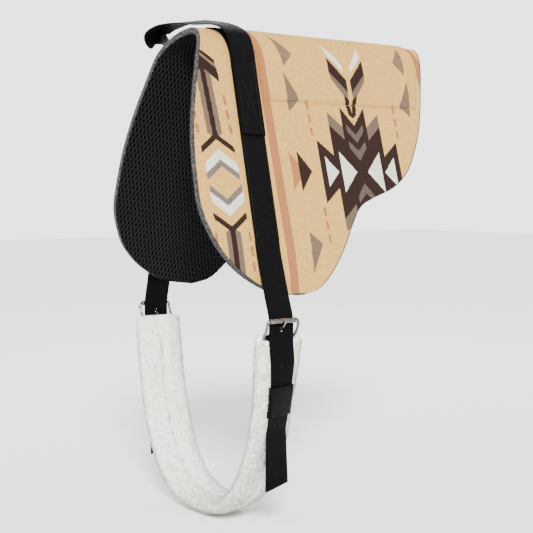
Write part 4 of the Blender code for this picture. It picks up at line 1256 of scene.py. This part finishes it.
def bridle_leather():
    """Black bridle leather: smooth with a fine grain, waxed, its gloss varying over slow creases.
    """
    material, add = start_material("waxed_bridle_leather", 0.42)
    place = add("TexCoord").outputs["Object"]
    # Grain of 0.9 mm pebbles over slow creases of 12 mm
    grain = add("TexVoronoi", {0: place, "Scale": 1 / (0.9 * MM)})
    slow = add("TexNoise", {0: place, "Scale": 1 / (12 * MM)})
    both = add("Math", {0: grain, 1: slow}, operation="ADD")
    rough = add("MapRange", {0: slow, 1: 0.3, 2: 0.7, 3: 0.36, 4: 0.55})
    bump = add("Bump", {"Strength": 0.3, "Distance": 0.3 * MM, "Height": both})
    return shaded(material, {"Base Color": bpy.context.scene.pad_colours.leather,
                             "Roughness": rough, "Normal": bump, "Specular IOR Level": 0.04})


def rounded_box(width, depth, radius, count):
    """Points and outward directions round a box with rounded corners, count to each corner."""
    points, away = [], []
    for k, (sx, sy) in enumerate(((1, 1), (-1, 1), (-1, -1), (1, -1))):
        turn = np.radians(np.linspace(90 * k, 90 * k + 90, count))
        way = np.column_stack([np.cos(turn), np.sin(turn)])
        points.append([sx * (width / 2 - radius), sy * (depth / 2 - radius)] + radius * way)
        away.append(way)
    return np.vstack(points), np.vstack(away)


def make_keepers():
    """Leather loops round the tails, with a pressed line near each edge."""
    pad, tack = sizes()
    leather = bridle_leather()
    bottom = tack.fleece / 2 - keeper_sunk
    top = tack.fleece / 2 + pad.gap + tack.webbing + keeper_slack
    ring, away = rounded_box(tack.webbing_width + 1.2 * MM, top - bottom, 1.2 * MM, 6)
    ring = ring + [0.0, (top + bottom) / 2]
    edge, _ = rounded_box(tack.keeper_height, tack.keeper_wall, 0.8 * MM, 4)
    face = np.linspace(0.46, -0.46, 41)[1:-1] * tack.keeper_height
    pressed = 0.32 * MM * np.exp(-((np.abs(face) - 0.43 * tack.keeper_height) / (0.7 * MM)) ** 2)
    section = np.vstack([edge[:4], np.column_stack([face, 0.5 * tack.keeper_wall - pressed]),
                         edge[4:]])
    wall = section[:, 1] + tack.keeper_wall / 2
    for side, prefix in ((-1, "near"), (1, "far")):
        distance = tack.keeper_place + tack.keeper_height / 2 - section[:, 0]
        rings = girth_point(girth_side(side, distance) + 0 * ring[:, :1],
                            ring[:, :1] + away[:, :1] * wall, ring[:, 1:] + away[:, 1:] * wall)
        piece = looped_mesh(prefix + "_leather_keeper", rings, leather)
        finish_piece(piece, "girth", "leather", prefix + "_keeper")


def stitch_row(line, normals):
    """Stitches along a line: flat-ended hexagons that dip at both ends, one to each pitch.

    Each covers two thirds of its pitch, and its height follows half a sine. The result holds
    four rings of six points for each stitch.
    """
    run = run_of(line)
    count = max(1, int(run[-1] / stitch_pitch))
    at = (np.arange(count)[:, None] + 0.5 + np.linspace(-0.33, 0.33, 4)) * run[-1] / count
    middle, up = (np.stack([np.interp(at, run, field[:, axis]) for axis in range(3)], -1)
                  for field in (line, normals))
    up = unit(up)
    beside = np.cross(unit(np.gradient(middle, axis=1)), up)
    middle = middle + stitch_rise * np.sin(math.pi * np.linspace(0, 1, 4))[:, None] * up
    spin = 2 * math.pi * np.arange(6)[:, None] / 6
    return (middle[:, :, None] + thread_radius * np.cos(spin) * beside[:, :, None]
            + thread_radius * np.sin(spin) * up[:, :, None])


def make_stitches():
    """Thread in the seat's seam, along the strap's edges and round the handle's sewn roots."""
    pad, tack = sizes()

    def laid(along, across, lift):
        """A row of stitches on the cut, at a height over the flat cloth."""
        low, high = (fold_point(along, across, lift + extra) for extra in (0.0, 1 * MM))
        return stitch_row(low, high - low)

    share = np.linspace(0, 1, 240)
    seam, strap = [], []
    for side in (-1, 1):
        along = pad.seat_start + share * (pad.seat_end - pad.seat_start)
        across = side * pad.seat_half_width + 0 * along
        keep = along < np.minimum(pad.seat_end, cut_edges(across)[1] - pad.seat_inset)
        seam.append(laid(along[keep], across[keep], -seam_sunk))
    across = pad.seat_half_width * (2 * share - 1)
    seam.append(laid(pad.seat_start + 0 * across, across, -seam_sunk))
    top = strap_lift + tack.webbing + 0.2 * MM
    across = 0.985 * tack.leaves_share * pad.half_drop * (2 * share - 1)
    for edge in (-0.43, 0.43):
        strap.append(laid(strap_middle(across) + edge * tack.webbing_width, across, top))
    # A box with both its diagonals on each root
    x, y = 0.36 * tack.webbing_width, 0.5 * tack.root_length - 6 * MM
    box = np.array([(-x, -y), (x, -y), (x, y), (-x, y), (-x, -y), (x, y), (x, -y), (-x, y)])
    box = np.vstack([np.linspace(a, b, 30, endpoint=False) for a, b in zip(box, box[1:])])
    for side in (-1, 1):
        across = side * (tack.root_start + 0.5 * tack.root_length) + box[:, 1]
        strap.append(laid(strap_middle(across) + box[:, 0], across, top + pad.gap + tack.webbing))
    for thread, slot, rows in (("tan", "cover", seam), ("webbing", "webbing", strap)):
        rings = np.concatenate(rows)
        first = 24 * np.arange(len(rings))[:, None, None]
        faces = [(kind + first).reshape(-1, kind.shape[-1]) for kind in capped(rings[0])]
        piece = new_mesh(thread + "_thread", rings, faces, sewing_thread(thread))
        finish_piece(piece, "pad", slot)


def sewing_thread(name):
    """Bonded polyester thread: smooth and a little glossy."""
    material, _ = start_material(name + "_polyester_thread", 0.45)
    return shaded(material, {"Base Color": getattr(bpy.context.scene.pad_colours, name),
                             "Specular IOR Level": 0.25})


class Steps:
    """Runs an operator's steps in order."""

    def execute(self, context):
        for step in self.steps:
            step()
        return {"FINISHED"}


class PAD_OT_stage(Steps, bpy.types.Operator):
    """Set up the floor, the light and the camera"""
    bl_idname = "pad.stage"
    bl_label = "Stage"
    steps = (make_stage,)


class PAD_OT_layers(Steps, bpy.types.Operator):
    """Build the cover, felt, liner and seat"""
    bl_idname = "pad.layers"
    bl_label = "Layers"
    steps = (make_cover, make_felt, make_liner, make_seat)


class PAD_OT_straps(Steps, bpy.types.Operator):
    """Build the webbing strap, the grab handle and the girth's webbing"""
    bl_idname = "pad.straps"
    bl_label = "Straps"
    steps = (make_strap, make_handle, make_girth_webbing)


class PAD_OT_fleece(Steps, bpy.types.Operator):
    """Build the fleece sleeve and its pile"""
    bl_idname = "pad.fleece"
    bl_label = "Fleece"
    steps = (make_fleece,)


class PAD_OT_fittings(Steps, bpy.types.Operator):
    """Build the roller buckles and the leather keepers"""
    bl_idname = "pad.fittings"
    bl_label = "Buckles and keepers"
    steps = (make_buckles, make_keepers)


class PAD_OT_stitches(Steps, bpy.types.Operator):
    """Build the thread of the seat's seam, the strap and the handle's roots"""
    bl_idname = "pad.stitches"
    bl_label = "Stitches"
    steps = (make_stitches,)


class PAD_PT_sidebar(bpy.types.Panel):
    """Sizes, colours and one button for each group of pieces"""
    bl_idname = "PAD_PT_sidebar"
    bl_label = "Bareback pad"
    bl_space_type = "VIEW_3D"
    bl_region_type = "UI"
    bl_category = "Bareback pad"

    def draw(self, context):
        for group in (context.scene.pad_sizes, context.scene.tack_sizes,
                      context.scene.pad_colours):
            box = self.layout.box()
            for key in group.bl_rna.properties.keys():
                if key not in ("rna_type", "name"):
                    box.prop(group, key)
        for item in operators:
            self.layout.operator(item.bl_idname)


operators = (PAD_OT_stage, PAD_OT_layers, PAD_OT_straps, PAD_OT_fleece, PAD_OT_fittings,
             PAD_OT_stitches)
classes = (PadSizes, TackSizes, PadColours, *operators, PAD_PT_sidebar)


def register():
    """Register the classes and hang the sizes and colours on the scene."""
    for item in classes:
        bpy.utils.register_class(item)
    bpy.types.Scene.pad_sizes = PointerProperty(type=PadSizes)
    bpy.types.Scene.tack_sizes = PointerProperty(type=TackSizes)
    bpy.types.Scene.pad_colours = PointerProperty(type=PadColours)


def unregister():
    """Take the sizes, the colours and the classes away again."""
    for name in ("pad_sizes", "tack_sizes", "pad_colours"):
        delattr(bpy.types.Scene, name)
    for item in reversed(classes):
        bpy.utils.unregister_class(item)


def main():
    """Register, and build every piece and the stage."""
    register()
    bpy.ops.pad.stage()
    bpy.ops.pad.layers()
    bpy.ops.pad.straps()
    bpy.ops.pad.fleece()
    bpy.ops.pad.fittings()
    bpy.ops.pad.stitches()


if __name__ == "__main__":
    main()
